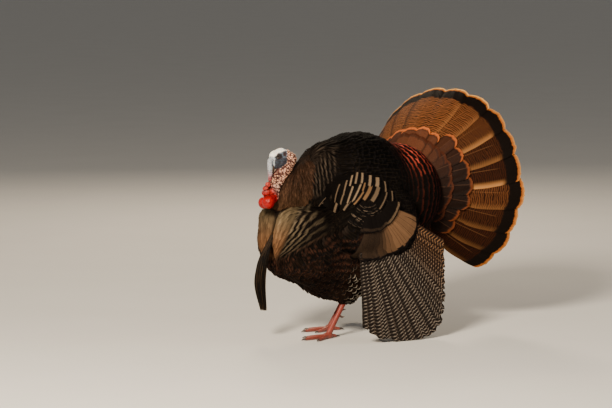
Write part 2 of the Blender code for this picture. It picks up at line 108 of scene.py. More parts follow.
def add_studio():
    """A world that is brightest near the horizon, three lamps and a wide floor."""
    world = bpy.data.worlds.new("studio")
    world.use_nodes = True
    tree = world.node_tree
    place = tree.nodes.new("ShaderNodeTexCoord")
    split = tree.nodes.new("ShaderNodeSeparateXYZ")
    tree.links.new(place.outputs["Generated"], split.inputs[0])
    band = tree.nodes.new("ShaderNodeMapRange")
    for key, value in (("From Min", 0.06), ("From Max", 0.30), ("To Min", 0.60), ("To Max", 0.13)):
        band.inputs[key].default_value = value
    tree.links.new(split.outputs[2], band.inputs["Value"])
    tree.nodes["Background"].inputs["Color"].default_value = (1.0, 0.97, 0.92, 1)
    tree.links.new(band.outputs[0], tree.nodes["Background"].inputs["Strength"])
    bpy.context.scene.world = world
    add_light("key", (-3.6, -3.0, 2.9), (0, 0, 0.4), 1.2, 500, (1.0, 0.86, 0.68))
    add_light("rim", (1.6, 3.6, 3.0), (0.1, 0, 0.5), 1.2, 90, (1.0, 0.82, 0.60))
    add_light("right", (3.6, -2.4, 1.6), (0.1, 0, 0.4), 1.8, 40, (1.0, 0.93, 0.84))
    side = 70.0
    mesh = bpy.data.meshes.new("floor")
    corners = [(-side, -side, 0), (side, -side, 0), (side, side, 0), (-side, side, 0)]
    mesh.from_pydata(corners, [], [(0, 1, 2, 3)])
    mesh.materials.append(floor_material())
    link(bpy.data.objects.new("floor", mesh))


# ---------------------------------------------------------------- materials


class Wire:
    """A node's output in a material. Arithmetic on it adds Math nodes."""

    def __init__(self, shader, socket):
        self.shader, self.socket = shader, socket

    def __add__(self, other):
        return self.shader.maths("ADD", self, other)

    def __sub__(self, other):
        return self.shader.maths("SUBTRACT", self, other)

    def __rsub__(self, other):
        return self.shader.maths("SUBTRACT", other, self)

    def __mul__(self, other):
        return self.shader.maths("MULTIPLY", self, other)

    def __pow__(self, other):
        return self.shader.maths("POWER", self, other)

    def __abs__(self):
        return self.shader.maths("ABSOLUTE", self)


class Shader:
    """A new node material. Its helpers take and give Wires, numbers and colours."""

    def __init__(self, name):
        self.material = bpy.data.materials.new(name)
        self.material.use_nodes = True
        self.tree = self.material.node_tree
        self.main = self.tree.nodes["Principled BSDF"]

    def put(self, socket, value):
        if isinstance(value, Wire):
            self.tree.links.new(value.socket, socket)
        else:
            socket.default_value = (*value, 1.0) if socket.type == "RGBA" else value

    def node(self, kind, output=0, inputs=(), **settings):
        """An output of a new node with these settings and inputs."""
        made = self.tree.nodes.new(kind)
        for key, value in settings.items():
            setattr(made, key, value)
        for key, value in dict(inputs).items():
            self.put(made.inputs[key], value)
        return Wire(self, made.outputs[output])

    def maths(self, operation, *values, **settings):
        return self.node("ShaderNodeMath", 0, enumerate(values), operation=operation, **settings)

    def most(self, a, b):
        return self.maths("MAXIMUM", a, b)

    def clamped(self, value):
        return self.maths("ADD", value, 0.0, use_clamp=True)

    def sine(self, value, pitch):
        return self.maths("SINE", value * (TURN / pitch))

    def step(self, low, high, value):
        """0 below low, 1 above high, smooth between."""
        inputs = {"Value": value, "From Min": low, "From Max": high}
        return self.node("ShaderNodeMapRange", 0, inputs, interpolation_type="SMOOTHSTEP")

    def mix(self, share, a, b):
        return self.node("ShaderNodeMix", 2, {0: share, 6: a, 7: b}, data_type="RGBA")

    def noise(self, scale, detail=3.0, vector=None):
        inputs = {"Scale": scale, "Detail": detail, "Vector": vector or self.place()}
        return self.node("ShaderNodeTexNoise", 0, inputs)

    def place(self):
        return self.node("ShaderNodeTexCoord", "Object")

    def streaks(self, detail, level, upright):
        """Noise at one scale in the level directions and another upright."""
        inputs = {"Scale": (level, level, upright), "Vector": self.place()}
        return self.noise(1.0, detail, self.node("ShaderNodeMapping", 0, inputs))

    def attribute(self, name, output="Color"):
        return self.node("ShaderNodeAttribute", output, attribute_name=name)

    def split(self, vector):
        first = self.node("ShaderNodeSeparateXYZ", 0, {0: vector})
        return [Wire(self, socket) for socket in first.socket.node.outputs]

    def join(self, *values):
        return self.node("ShaderNodeCombineXYZ", 0, enumerate(values))

    def vane(self):
        """Along the feather from 0 to 1, and across it from -1 to 1."""
        x, y, _ = self.split(self.node("ShaderNodeUVMap", uv_map="vane"))
        return x, y * 2.0 - 1.0

    def barbs(self, along, aside):
        """46 fine lines that leave the shaft at a slant towards the tip, from 0 to 1."""
        return self.sine(along - aside * 0.35, 1 / 46) * 0.5 + 0.5

    def set(self, **values):
        for key, value in values.items():
            self.put(self.main.inputs[key.replace("_", " ")], value)

    def finished(self, colour, roughness, specular=0.5, height=None, depth=0.0005, strength=0.3):
        """The material with these values, and a bump where height is given."""
        self.set(Base_Color=colour, Roughness=roughness, Specular_IOR_Level=specular)
        if height:
            inputs = {"Strength": strength, "Distance": depth, "Height": height}
            self.set(Normal=self.node("ShaderNodeBump", 0, inputs))
        return self.material


class LongShader(Shader):
    """A material of long feathers. Attribute ground: alpha is the feather's length. Attribute band: a share
    that is painted light on the tail and its coverts and rust on the wings, the strength of a painted glow, and
    a seed."""

    def __init__(self, name):
        super().__init__(name)
        self.along, self.across = self.vane()
        self.aside = abs(self.across)
        self.tone, self.glow, self.seed = self.split(self.attribute("band"))
        self.length = self.attribute("ground", "Alpha")
        self.metres = self.along * self.length
        self.shift = self.seed * 37.0

    def grain(self, detail, along, across):
        """Noise at these scales, different from feather to feather."""
        return self.noise(1.0, detail, self.join(self.metres * along, self.across * across, self.shift))

    def from_end(self, detail, across, depth):
        """Metres to the feather's end, ragged by depth."""
        ragged = self.noise(1.0, detail, self.join(self.across * across, self.shift, 0.0))
        return self.length - self.metres + ragged * depth - depth / 2

    def lines(self, slant):
        """The barbs' lines."""
        return self.sine(self.metres - self.aside * slant, 0.0016)


def floor_material():
    s = Shader("studio_floor")
    return s.finished(s.mix(s.noise(3.0, 4.0), (0.78, 0.76, 0.72), (0.83, 0.81, 0.77)), 0.85)


def plumage_material():
    """Body feathers. Attribute ground: colour and metal share. Attribute tip: colour and where the tip
    starts. Attribute band: width of the black band before the tip, the pale shaft's strength, and how far
    the tip's colour runs down the edges."""
    s = Shader("plumage")
    along, across = s.vane()
    aside = abs(across)
    band, pale, edge = s.split(s.attribute("band"))
    start = s.attribute("tip", "Alpha")
    reach = along + aside**3.0 * edge + across * across * 0.055 + s.noise(420.0, 2.0) * 0.05 - 0.025
    tip = s.step(start, start + 0.035, reach)
    black = s.step(start - band, start - band * 0.62, reach)
    line = s.barbs(along, aside)
    colour = s.mix(line * 0.30, s.attribute("ground"), (0.0, 0.0, 0.0))
    colour = s.mix(s.step(0.1, 0.5, along), (0.014, 0.010, 0.008), colour)
    colour = s.mix(black, colour, (0.0045, 0.004, 0.0045))
    colour = s.mix(tip, colour, s.attribute("tip"))
    colour = s.mix((1.0 - s.step(0.03, 0.09, aside)) * pale, colour, (0.16, 0.12, 0.08))
    s.set(Metallic=s.attribute("ground", "Alpha") * s.step(0.35, 0.6, along) * (1.0 - s.most(black, tip)))
    return s.finished(colour, line * 0.12 + 0.62, 0.012, line)


def banded_material():
    """Scapulars: a dark base, a broad pale bronze band freckled with brown, and a black edge at the tip."""
    s = Shader("scapular")
    along, across = s.vane()
    aside = abs(across)
    start = s.attribute("tip", "Alpha")
    dark = s.split(s.attribute("band"))[1]
    reach = across * across * 0.03 + along + s.noise(260.0) * 0.036 - 0.018
    freckle = s.step(0.5, 0.7, s.noise(700.0, 4.0)) * 0.45
    band = s.mix(freckle, s.attribute("tip"), (0.07, 0.040, 0.022))
    toned = s.mix(s.step(start, start + 0.05, reach), s.attribute("ground"), band)
    shaft = (1.0 - s.step(0.02, 0.07, aside)) * 0.5
    black = s.most(s.step(0.925, 0.945, reach), s.most(s.step(0.80, 0.95, aside), shaft) * dark)
    line = s.barbs(along, aside)
    return s.finished(s.mix(black, toned, (0.005, 0.004, 0.004)), line * 0.10 + 0.55, 0.02, line)


def tail_material():
    """Long tail feathers: wavy bars, black band, chestnut tip. How brightly each feather's chestnut and its
    tip's outer edge are lit is painted light, set feather by feather. One edge of each feather gets painted
    shade, and glow is the strength of a painted highlight along the other, lit edge."""
    s = LongShader("tail_vane")
    wave = s.sine(s.metres - s.aside * 0.010 + s.grain(3.0, 75.0, 1.6) * 0.014 - 0.007, 0.0068)
    fine = s.grain(4.0, 900.0, 9.0)
    bar = s.clamped(s.step(-0.15, 0.35, wave) * (fine * 0.7 + 0.55))
    from_end = s.from_end(3.0, 7.0, 0.008)
    ground = s.mix(fine, (0.030, 0.0074, 0.0026), (0.018, 0.0046, 0.0017))
    # Painted light: the chestnut is brighter on lit feathers and darker on shaded ones, by the band's first
    # share.
    colour = s.mix(bar, s.mix(s.tone, ground, (0.330, 0.118, 0.036)), (0.009, 0.0034, 0.0016))
    colour = s.mix(s.step(0.057, 0.050, from_end), colour, (0.0045, 0.0026, 0.0018))
    # Painted shade along one edge of each feather.
    colour = s.mix(s.step(-0.55, -1.0, s.across) * 0.60, colour, (0.006, 0.003, 0.002))
    # Painted highlight along the other edge, as strong as the feather's glow.
    sunny = s.step(0.58, 0.98, s.across) * s.step(0.045, 0.070, from_end)
    colour = s.mix(sunny * s.glow, colour, (0.42, 0.190, 0.062))
    # The tip's outer edge is a painted glow, brighter on lit feathers.
    rim = s.mix(s.step(0.15, 0.55, s.tone), (0.46, 0.205, 0.052), (1.0, 0.52, 0.110))
    tip = s.mix(s.step(0.008, 0.001, from_end), (0.33, 0.095, 0.018), rim)
    colour = s.mix(s.step(0.0135, 0.0100, from_end), colour, tip)
    shaft = (1.0 - s.step(0.010, 0.030, s.aside)) * s.step(0.062, 0.10, from_end)
    colour = s.mix(shaft * 0.22, colour, (0.30, 0.13, 0.050))
    return s.finished(colour, fine * 0.2 + 0.58, 0.05, s.lines(0.022) + shaft * 5.0, 0.0004)


def covert_material():
    """Tail coverts: dark plum-brown plates with fine freckles, a black line and an orange-chestnut edge. Plates
    in the light are painted lighter, their sides darker as painted shade between the plates, and the end's
    orange edge is brightened as a painted glow.
    """
    s = LongShader("covert_vane")
    fine = s.grain(4.0, 420.0, 6.0)
    wave = s.maths("SINE", fine * 5.0 + s.metres * (TURN / 0.0075))
    bar = s.step(0.2, 0.8, wave) * s.step(0.75, 0.35, s.along)
    from_end = s.from_end(2.0, 6.0, 0.006)
    # Painted light: lit plates are lighter, by the band's first share.
    lit = s.mix(fine, (0.150, 0.052, 0.024), (0.060, 0.019, 0.009))
    colour = s.mix(s.tone, s.mix(fine, (0.0095, 0.0034, 0.0017), (0.0055, 0.0022, 0.0012)), lit)
    # Painted shade along both sides, between the plates.
    colour = s.mix(s.step(0.70, 0.98, s.aside) * 0.6, colour, (0.006, 0.003, 0.002))
    colour = s.mix(bar, colour, (0.016, 0.008, 0.005))
    colour = s.mix(s.step(0.017, 0.012, from_end) * 0.5, colour, (0.010, 0.006, 0.005))
    # The end's edge is brightened by the feather's glow, as painted light.
    edge = s.mix(s.glow, (0.050, 0.0130, 0.0050), (0.56, 0.140, 0.032))
    colour = s.mix(s.step(0.0120, 0.0045, from_end), colour, edge)
    colour = s.mix((1.0 - s.step(0.015, 0.05, s.aside)) * 0.35, colour, (0.10, 0.045, 0.025))
    return s.finished(colour, fine * 0.2 + 0.5, 0.08, s.lines(0.018), 0.0004)


def wing_material():
    """Flight feathers barred black and white, rustier where the band's first share is high, with painted shade
    along both edges.
    """
    s = LongShader("wing_vane")
    phase = s.metres - s.aside * 0.016 + s.grain(3.0, 60.0, 2.0) * 0.008 - 0.004
    bar = s.step(-0.86, -0.42, s.maths("SINE", s.seed * 40.0 + phase * (TURN / 0.0108)))
    fine = s.grain(4.0, 700.0, 9.0)
    white = s.mix(fine, (0.25, 0.205, 0.165), (0.13, 0.105, 0.082))
    light = s.mix(s.tone, white, s.mix(fine, (0.27, 0.140, 0.064), (0.16, 0.074, 0.031)))
    dark = s.mix(s.tone, (0.008, 0.0055, 0.0042), (0.012, 0.0055, 0.003))
    # Painted shade along both edges of each feather, between the feathers.
    colour = s.mix(s.step(0.50, 0.80, s.aside) * 0.85, s.mix(bar, light, dark), dark)
    shaft = 1.0 - s.step(0.04, 0.09, abs(s.across + 0.25))
    colour = s.mix(shaft * 0.8, colour, (0.045, 0.032, 0.024))
    return s.finished(colour, fine * 0.2 + 0.5, 0.08, s.lines(-0.02), 0.0004)


def skin_material():
    """The skin under the coat, darkened as painted shade."""
    s = Shader("feathered_skin")
    grain = s.noise(300.0)
    tint = s.mix(s.noise(60.0) * 0.6, s.attribute("tint"), (0.005, 0.004, 0.003))
    return s.finished(tint, grain * 0.1 + 0.8, 0.03, grain, 0.002, 0.4)


def bare_material():
    """Bare skin of the head, neck, wattle and snood, wetter where the tint's alpha is high."""
    s = Shader("bare_skin")
    grain = s.noise(900.0, 4.0)
    blotch = s.clamped(s.noise(130.0) * 0.4 - 0.14)
    tint = s.mix(blotch, s.attribute("tint"), (0.08, 0.022, 0.016))
    s.set(Subsurface_Weight=0.12, Subsurface_Radius=(0.004, 0.0015, 0.0008), Subsurface_Scale=1.0)
    roughness = s.attribute("tint", "Alpha") * -0.22 + grain * 0.20 + 0.42
    return s.finished(tint, roughness, 0.22, grain, 0.0005, 0.35)


def leg_material():
    """Shanks and feet, red with a brown mottle."""
    s = Shader("leg_scales")
    grain = s.noise(500.0, 4.0)
    tint = s.mix(s.clamped(s.noise(90.0) * 0.5 - 0.1), s.attribute("tint"), (0.16, 0.07, 0.05))
    return s.finished(tint, grain * 0.2 + 0.38, 0.5, grain)


def eye_material():
    """A black pupil, a brown iris and a dark rim, under a clear coat."""
    s = Shader("eye_wet")
    gaze = s.attribute("gaze", "Fac")
    streak = s.noise(2600.0)
    colour = s.mix(streak, (0.020, 0.008, 0.004), (0.050, 0.021, 0.009))
    colour = s.mix(s.step(0.40, 0.47, gaze), colour, (0.012, 0.009, 0.008))
    colour = s.mix(s.step(0.25, 0.22, gaze), colour, (0.002, 0.002, 0.002))
    s.set(Coat_Weight=1.0, Coat_Roughness=0.03)
    return s.finished(colour, streak * 0.03 + 0.05, 0.6)


def horn_material(name, above, below, low, high):
    """Horn with fine streaks, whose colour turns between the heights low and high."""
    s = Shader(name)
    streak = s.streaks(4.0, 420.0, 60.0)
    base = s.mix(s.step(low, high, s.split(s.place())[2]), below, above)
    return s.finished(s.mix(streak * 0.5, base, (0.03, 0.018, 0.012)), streak * 0.2 + 0.28, 0.5, streak)


def beard_material():
    """Black bristles, a few of them brown as painted glints."""
    s = Shader("beard_bristle")
    streak = s.streaks(3.0, 300.0, 18.0)
    # A few bristles are painted brown, as glints of light on the beard.
    tone = s.mix(s.step(0.80, 1.0, s.attribute("seed", "Fac")), (0.0052, 0.0040, 0.0032), (0.120, 0.066, 0.028))
    return s.finished(s.mix(streak * 0.5, tone, (0.006, 0.005, 0.005)), streak * 0.2 + 0.45, 0.10)


MATERIALS = {
    "plumage": plumage_material(),
    "banded": banded_material(),
    "tail": tail_material(),
    "covert": covert_material(),
    "wing": wing_material(),
    "skin": skin_material(),
    "bare": bare_material(),
    "leg": leg_material(),
    "eye": eye_material(),
    "beard": beard_material(),
    "bill": horn_material("bill_horn", (0.085, 0.042, 0.030), (0.20, 0.120, 0.075), 0.535, 0.568),
    "claw": horn_material("claw_horn", (0.10, 0.055, 0.038), (0.035, 0.024, 0.020), 0.004, 0.014),
}


# ---------------------------------------------------------------- mesh tools


def link(obj):
    bpy.context.scene.collection.objects.link(obj)
    return obj


def fill(collection, key, values, kind=np.float32):
    """Writes an array to one property of each item of a collection."""
    collection.foreach_set(key, np.ascontiguousarray(values, dtype=kind).ravel())


def joined_copy(name, nodes):
    """One object with a copy of these solids' meshes."""
    bm = bmesh.new()
    for node in nodes:
        bm.from_mesh(NODES[node].data)
    mesh = bpy.data.meshes.new(name)
    bm.to_mesh(mesh)
    bm.free()
    return link(bpy.data.objects.new(name, mesh))


def eased_surface(obj, times):
    """Smooths the object this many times, and gives it the mesh that its modifiers make."""
    ease = obj.modifiers.new("ease", "SMOOTH")
    ease.factor = 0.5
    ease.iterations = times
    graph = bpy.context.evaluated_depsgraph_get()
    mesh = bpy.data.meshes.new_from_object(obj.evaluated_get(graph))
    obj.modifiers.clear()
    obj.data = mesh
    return obj


def remeshed(obj, voxel, smoothing, grow=0.0):
    """One closed surface around the object's parts, moved outwards by grow."""
    if grow:
        swell = obj.modifiers.new("swell", "DISPLACE")
        swell.strength = grow
        swell.mid_level = 0.0
    remesh = obj.modifiers.new("remesh", "REMESH")
    remesh.mode = "VOXEL"
    remesh.voxel_size = voxel
    return eased_surface(obj, smoothing)


def dress(obj, material):
    """Gives the object this material alone, and smooth shading."""
    obj.data.materials.clear()
    obj.data.materials.append(material)
    obj.data.shade_smooth()
    return obj


def coordinates(mesh, key="co"):
    """The places of a mesh's vertices, or their normals."""
    found = np.empty(len(mesh.vertices) * 3)
    mesh.vertices.foreach_get(key, found)
    return found.reshape(-1, 3)


def surface(obj):
    """The places and normals of an object's vertices."""
    return coordinates(obj.data), coordinates(obj.data, "normal")


def set_coordinates(mesh, points):
    fill(mesh.vertices, "co", points)
    mesh.update()


def unit(vectors):
    return vectors / np.maximum(np.linalg.norm(vectors, axis=-1, keepdims=True), 1e-9)


def smooth(low, high, value):
    """0 at low, 1 at high, smooth between."""
    share = np.clip((value - low) / (high - low), 0.0, 1.0)
    return share * share * (3 - 2 * share)


def blend(share, a, b):
    """a where share is 0, b where it is 1. Both may be one colour or a colour for each share."""
    share = np.asarray(share)[:, None]
    return np.asarray(a, float) * (1 - share) + np.asarray(b, float) * share


def layered(base, layers):
    """base with each (colour, share) of the layers laid over it in turn."""
    for colour, share in layers:
        base = blend(np.clip(share, 0, 1), base, colour)
    return base


def tree_of(*meshes):
    """A search tree of these meshes' triangles."""
    vertices, faces = [], []
    for mesh in meshes:
        mesh.calc_loop_triangles()
        base = len(vertices)
        vertices += [v.co.copy() for v in mesh.vertices]
        faces += [tuple(base + i for i in t.vertices) for t in mesh.loop_triangles]
    return BVHTree.FromPolygons(vertices, faces)


def body_unwrap(points):
    """A small box of the map for each point of the body, as lowest corner and size. The map is laid out by
    turn about the long axis and by angle from the front."""
    way = unit(points - (np.array((-0.14, 0.0, 0.36)) + SHIFT_NP))
    turn = np.arctan2(way[:, 1], way[:, 2]) / (2 * math.pi) + 0.5
    angle = np.arccos(np.clip(-way[:, 0], -1, 1)) / math.pi
    middle = np.stack((0.01 + 0.98 * turn, 0.01 + 0.98 * angle), axis=1)
    return middle - 0.0015, np.full((len(points), 2), 0.003)


def strip_unwrap(count):
    """One upright strip of the unit square for each long feather: lowest corner and size."""
    low = np.stack((np.arange(count) / count + 0.1 / count, np.full(count, 0.01)), axis=1)
    size = np.tile((0.8 / count, 0.98), (count, 1))
    return low, size


def new_piece(name, points, quads, count, layers, attributes, material):
    """A smooth piece that rides the root: count equal grids of points, each with these quads. layers maps
    UV maps to each point's place, attributes maps names to each point's value or colour."""
    points = points.reshape(-1, 3)
    steps = np.arange(count) * (len(points) // count)
    faces = (quads.reshape(1, -1, 4) + steps[:, None, None]).reshape(-1, 4)
    mesh = bpy.data.meshes.new(name)
    mesh.vertices.add(len(points))
    fill(mesh.vertices, "co", points)
    mesh.loops.add(faces.size)
    fill(mesh.loops, "vertex_index", faces, np.int32)
    mesh.polygons.add(len(faces))
    fill(mesh.polygons, "loop_start", np.arange(0, faces.size, 4), np.int32)
    fill(mesh.polygons, "loop_total", np.full(len(faces), 4), np.int32)
    for key, places in layers.items():
        fill(mesh.uv_layers.new(name=key).data, "uv", places[faces.ravel()])
    for key, values in attributes.items():
        kind, field = ("FLOAT", "value") if values.ndim == 1 else ("FLOAT_COLOR", "color")
        fill(mesh.attributes.new(key, kind, "POINT").data, field, values)
    mesh.materials.append(material)
    mesh.update(calc_edges=True)
    mesh.validate()
    mesh.shade_smooth()
    obj = link(bpy.data.objects.new(name, mesh))
    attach(obj, "root")
    return obj


def vane_mesh(name, points, along, across, attributes, material, low, size):
    """Many vanes as one piece. points is (count, rows, columns, 3); along and across are (rows, columns),
    from 0 to 1 and -1 to 1; attributes maps names to values of vanes or of points; low and size are the
    vanes' boxes on the map."""
    count, rows, columns, _ = points.shape
    each = rows * columns
    grid = np.arange(each).reshape(rows, columns)
    quads = np.stack((grid[:-1, :-1], grid[1:, :-1], grid[1:, 1:], grid[:-1, 1:]), axis=-1)
    flat = np.stack((along, (across + 1) / 2), axis=-1).reshape(-1, 2)
    patch = low[:, None, :] + flat[None, :, ::-1] * size[:, None, :]
    layers = {"OFBake": patch.reshape(-1, 2), "vane": np.tile(flat, (count, 1))}
    spread = {k: np.repeat(v, each, axis=0) if v.ndim == 2 else v.reshape(-1, 4) for k, v in attributes.items()}
    return new_piece(name, points, quads, count, layers, spread, material)


def vane_grid(rows, columns, tip_power):
    """along and across of a vane's grid, with rows closer towards the tip, and along of one column."""
    along = 1 - (1 - np.linspace(0, 1, rows)) ** tip_power
    across = np.linspace(-1, 1, columns)
    return np.tile(along[:, None], (1, columns)), np.tile(across[None], (rows, 1)), along


def round_tip(along, widest, root):
    """Half-width of a body feather at each row, as a share of its greatest."""
    rise = root + (1 - root) * smooth(0.0, widest, along)
    end = np.sqrt(np.clip(1 - ((along - widest) / (1 - widest)) ** 2, 0.0, 1.0))
    return np.where(along > widest, np.maximum(end, 0.06), rise)


# ---------------------------------------------------------------- skin

SOFT = ["trunk", "neck_ruff", "rump", "thigh_left", "thigh_right", "wing_left_shoulder", "wing_right_shoulder"]
COAT_DEPTH = 0.009


def build_body_skin():
    """The feathered body's skin, inside the solids by the coat's depth, with the breast's cleft and its
    crease."""
    skin = remeshed(joined_copy("body_skin", SOFT), 0.0055, 10, grow=0.001)
    points, outwards = surface(skin)
    set_coordinates(skin.data, points - outwards * COAT_DEPTH)
    eased_surface(skin, 4)
    points, outwards = surface(skin)
    x, y, z = design(points).T
    cleft = np.exp(-((y / 0.011) ** 2)) * smooth(-0.30, -0.36, x)
    cleft = cleft * smooth(0.20, 0.24, z) * smooth(0.41, 0.38, z)
    crease = np.exp(-(((z - 0.434) / 0.008) ** 2)) * smooth(-0.24, -0.30, x) * (1 - cleft)
    crease = crease * smooth(0.015, 0.060, np.abs(y))
    set_coordinates(skin.data, points - outwards * (0.020 * cleft + 0.009 * crease)[:, None])
    return dress(skin, MATERIALS["skin"])


# ---------------------------------------------------------------- contour feathers

NECK_POLE = np.array((-0.385, 0.0, 0.560)) + SHIFT_NP
TAIL_POLE = np.array((0.110, 0.035, 0.470)) + SHIFT_NP


def flow_at(points):
    """Which way feathers lie: away from the bare neck and towards the tail."""
    away = points - NECK_POLE
    towards = TAIL_POLE - points
    return unit(
        away / (np.sum(away**2, axis=-1, keepdims=True) + 1e-4)
        + towards / (np.sum(towards**2, axis=-1, keepdims=True) + 2e-3)
    )


def scattered(mesh, keep, spacing, tries, stretch=lambda p: np.ones(len(p)), flow=flow_at):
    """Points spread evenly over a mesh, each at least spacing(point) from the others, where keep(points)
    allows. Along the flow they stand stretch(point) times further apart."""
    mesh.calc_loop_triangles()
    triangles = np.empty(len(mesh.loop_triangles) * 3, dtype=np.int32)
    mesh.loop_triangles.foreach_get("vertices", triangles)
    corners = coordinates(mesh)[triangles.reshape(-1, 3)]
    areas = np.linalg.norm(np.cross(corners[:, 1] - corners[:, 0], corners[:, 2] - corners[:, 0]), axis=1)
    c = corners[RNG.choice(len(areas), size=tries, p=areas / areas.sum())]
    a, b = RNG.random((2, tries, 1))
    flip = a + b > 1
    a, b = np.where(flip, 1 - a, a), np.where(flip, 1 - b, b)
    points = c[:, 0] + a * (c[:, 1] - c[:, 0]) + b * (c[:, 2] - c[:, 0])
    points = points[keep(points)]
    gaps = spacing(points)
    longer, ways = stretch(points), flow(points)
    squeeze = 1 - 1 / longer**2
    # Space is cut into cells, so that a point is compared with those of its own and the neighbouring cells
    # alone.
    cell = float((gaps * longer).max())
    taken, chosen = {}, []
    around = [(i, j, k) for i in (-1, 0, 1) for j in (-1, 0, 1) for k in (-1, 0, 1)]

    def clear(index, x, y, z):
        point, gap = points[index], gaps[index]
        for i, j, k in around:
            for other in taken.get((x + i, y + j, z + k), ()):
                away = points[other] - point
                if away @ away - squeeze[index] * (away @ ways[index]) ** 2 < gap * gap:
                    return False
        return True

    for index, key in enumerate(np.floor(points / cell).astype(int).tolist()):
        if clear(index, *key):
            taken.setdefault(tuple(key), []).append(index)
            chosen.append(index)
    return points[chosen]


def laid_lines(tree, roots, lengths, flow, lift_tip, jitter, steps=6):
    """Centre lines that follow the skin from their roots along the flow, with their normals."""
    lift_root = 0.0005
    turn = RNG.normal(0, jitter, len(roots))
    points, normals = np.empty((2, len(roots), steps + 1, 3))

    def drop(places, k):
        for i, place in enumerate(places):
            points[i, k], normals[i, k], _, _ = tree.find_nearest(place)

    drop(roots, 0)
    for k in range(steps):
        way = flow(points[:, k])
        out = normals[:, k]
        way = unit(way - out * np.sum(way * out, axis=1, keepdims=True))
        way = way * np.cos(turn)[:, None] + np.cross(out, way) * np.sin(turn)[:, None]
        drop(points[:, k] + way * (lengths / steps)[:, None], k + 1)
    share = np.linspace(0, 1, steps + 1)
    lift = lift_root + (lift_tip - lift_root)[:, None] * share[None] ** 0.8
    return points + normals * lift[:, :, None], normals


def resampled(lines, along):
    """Values at the steps of a line, read at the rows of a vane."""
    steps = lines.shape[1] - 1
    at = np.clip(along * steps, 0, steps - 1e-6)
    low = np.floor(at).astype(int)
    share = (at - low)[None, :, None]
    return lines[:, low] * (1 - share) + lines[:, low + 1] * share


def coat(
    name, lines, outs, widths, roots, attributes, rows, columns, widest, camber, power, stem, paint, material
):
    """Feathers along these lines, whose normals are outs, as one piece. camber bends their edges down, stem
    is the width at the root, paint colours their points."""
    along2, across2, along = vane_grid(rows, columns, power)
    centres, normals = resampled(lines, along), unit(resampled(outs, along))
    ahead = unit(np.gradient(centres, axis=1))
    sides = unit(np.cross(ahead, normals))
    normals = unit(np.cross(sides, ahead))
    half = (widths[:, None] / 2 * round_tip(along, widest, stem)[None])[:, :, None, None]
    across = across2[None, :, :, None]
    drop = camber * half * across**2
    points = centres[:, :, None] + sides[:, :, None] * (half * across) - normals[:, :, None] * drop
    if paint:
        attributes = paint(points.reshape(len(roots), -1, 3), attributes)
    return vane_mesh(name, points, along2, across2, attributes, MATERIALS[material], *body_unwrap(roots))


def contour_coat(
    name, tree, roots, lengths, widths, attributes, flow, rows, columns, jitter, lift, widest,
    camber=0.22, paint=None,
):
    """Body feathers from these roots."""
    lift_tip = lift * RNG.uniform(0.75, 1.1, len(roots))
    lines, outs = laid_lines(tree, roots, lengths, flow, lift_tip, jitter)
    widths = widths * RNG.uniform(0.92, 1.08, len(roots))
    piece = coat(
        name, lines, outs, widths, roots, attributes, rows, columns, widest, camber, 1.4, 0.35, paint, "plumage"
    )


def colours(count, ground, metal, tip, tip_start, band, shaft, edge=0.0):
    """Attributes of count feathers. Each value is one for all of them or an array."""
    ground = np.broadcast_to(ground, (count, 3)) * RNG.uniform(0.88, 1.12, (count, 1))
    tip = np.broadcast_to(tip, (count, 3)) * RNG.uniform(0.88, 1.12, (count, 1))
    tip_start = tip_start + RNG.normal(0, 0.008, count)
    metal, band, shaft, edge = (np.broadcast_to(v, (count,)) for v in (metal, band, shaft, edge))
    return {
        "ground": np.column_stack((ground, metal)),
        "tip": np.column_stack((tip, tip_start)),
        "band": np.column_stack((band, shaft, edge, np.ones(count))),
    }


# ---------------------------------------------------------------- tail

FAN_TURN, FAN_TILT = math.radians(21), math.radians(-1.2)
FAN_AXIS = unit(np.array((math.cos(FAN_TURN), math.sin(FAN_TURN), math.tan(FAN_TILT))))
FAN_UP = unit(np.array((0.0, 0.0, 1.0)) - FAN_AXIS * FAN_AXIS[2])
FAN_LEFT = -np.cross(FAN_UP, FAN_AXIS)
FAN_ROOT = np.array((0.0266, 0.0, 0.471)) + SHIFT_NP
FAN_LENGTH = 0.421
FAN_SLOPES = (math.radians(66.5), math.radians(31.6))


def fan_place(turn, along, lift):
    """A point on the fan: turn is the angle round its axis, along the distance from its root."""
    first, last = FAN_SLOPES
    bend = (last - first) / FAN_LENGTH
    slope = first + bend * along
    outwards = (math.cos(first) - np.cos(slope)) / bend
    forwards = (np.sin(slope) - math.sin(first)) / bend
    radial = np.cos(turn)[..., None] * FAN_UP + np.sin(turn)[..., None] * FAN_LEFT
    normal = radial * np.cos(slope)[..., None] - FAN_AXIS * np.sin(slope)[..., None]
    return FAN_ROOT + radial * outwards[..., None] + FAN_AXIS * forwards[..., None] + normal * lift[..., None]


def long_attributes(count, length, tone, glow):
    """Attributes of count long feathers. Each value is one for all of them or an array."""
    length, tone, glow = (np.broadcast_to(v, (count,)) for v in (length, tone, glow))
    zero = np.zeros(count)
    return {
        "ground": np.column_stack((zero, zero, zero, length)),
        "band": np.column_stack((tone, glow, RNG.random(count), np.ones(count))),
    }


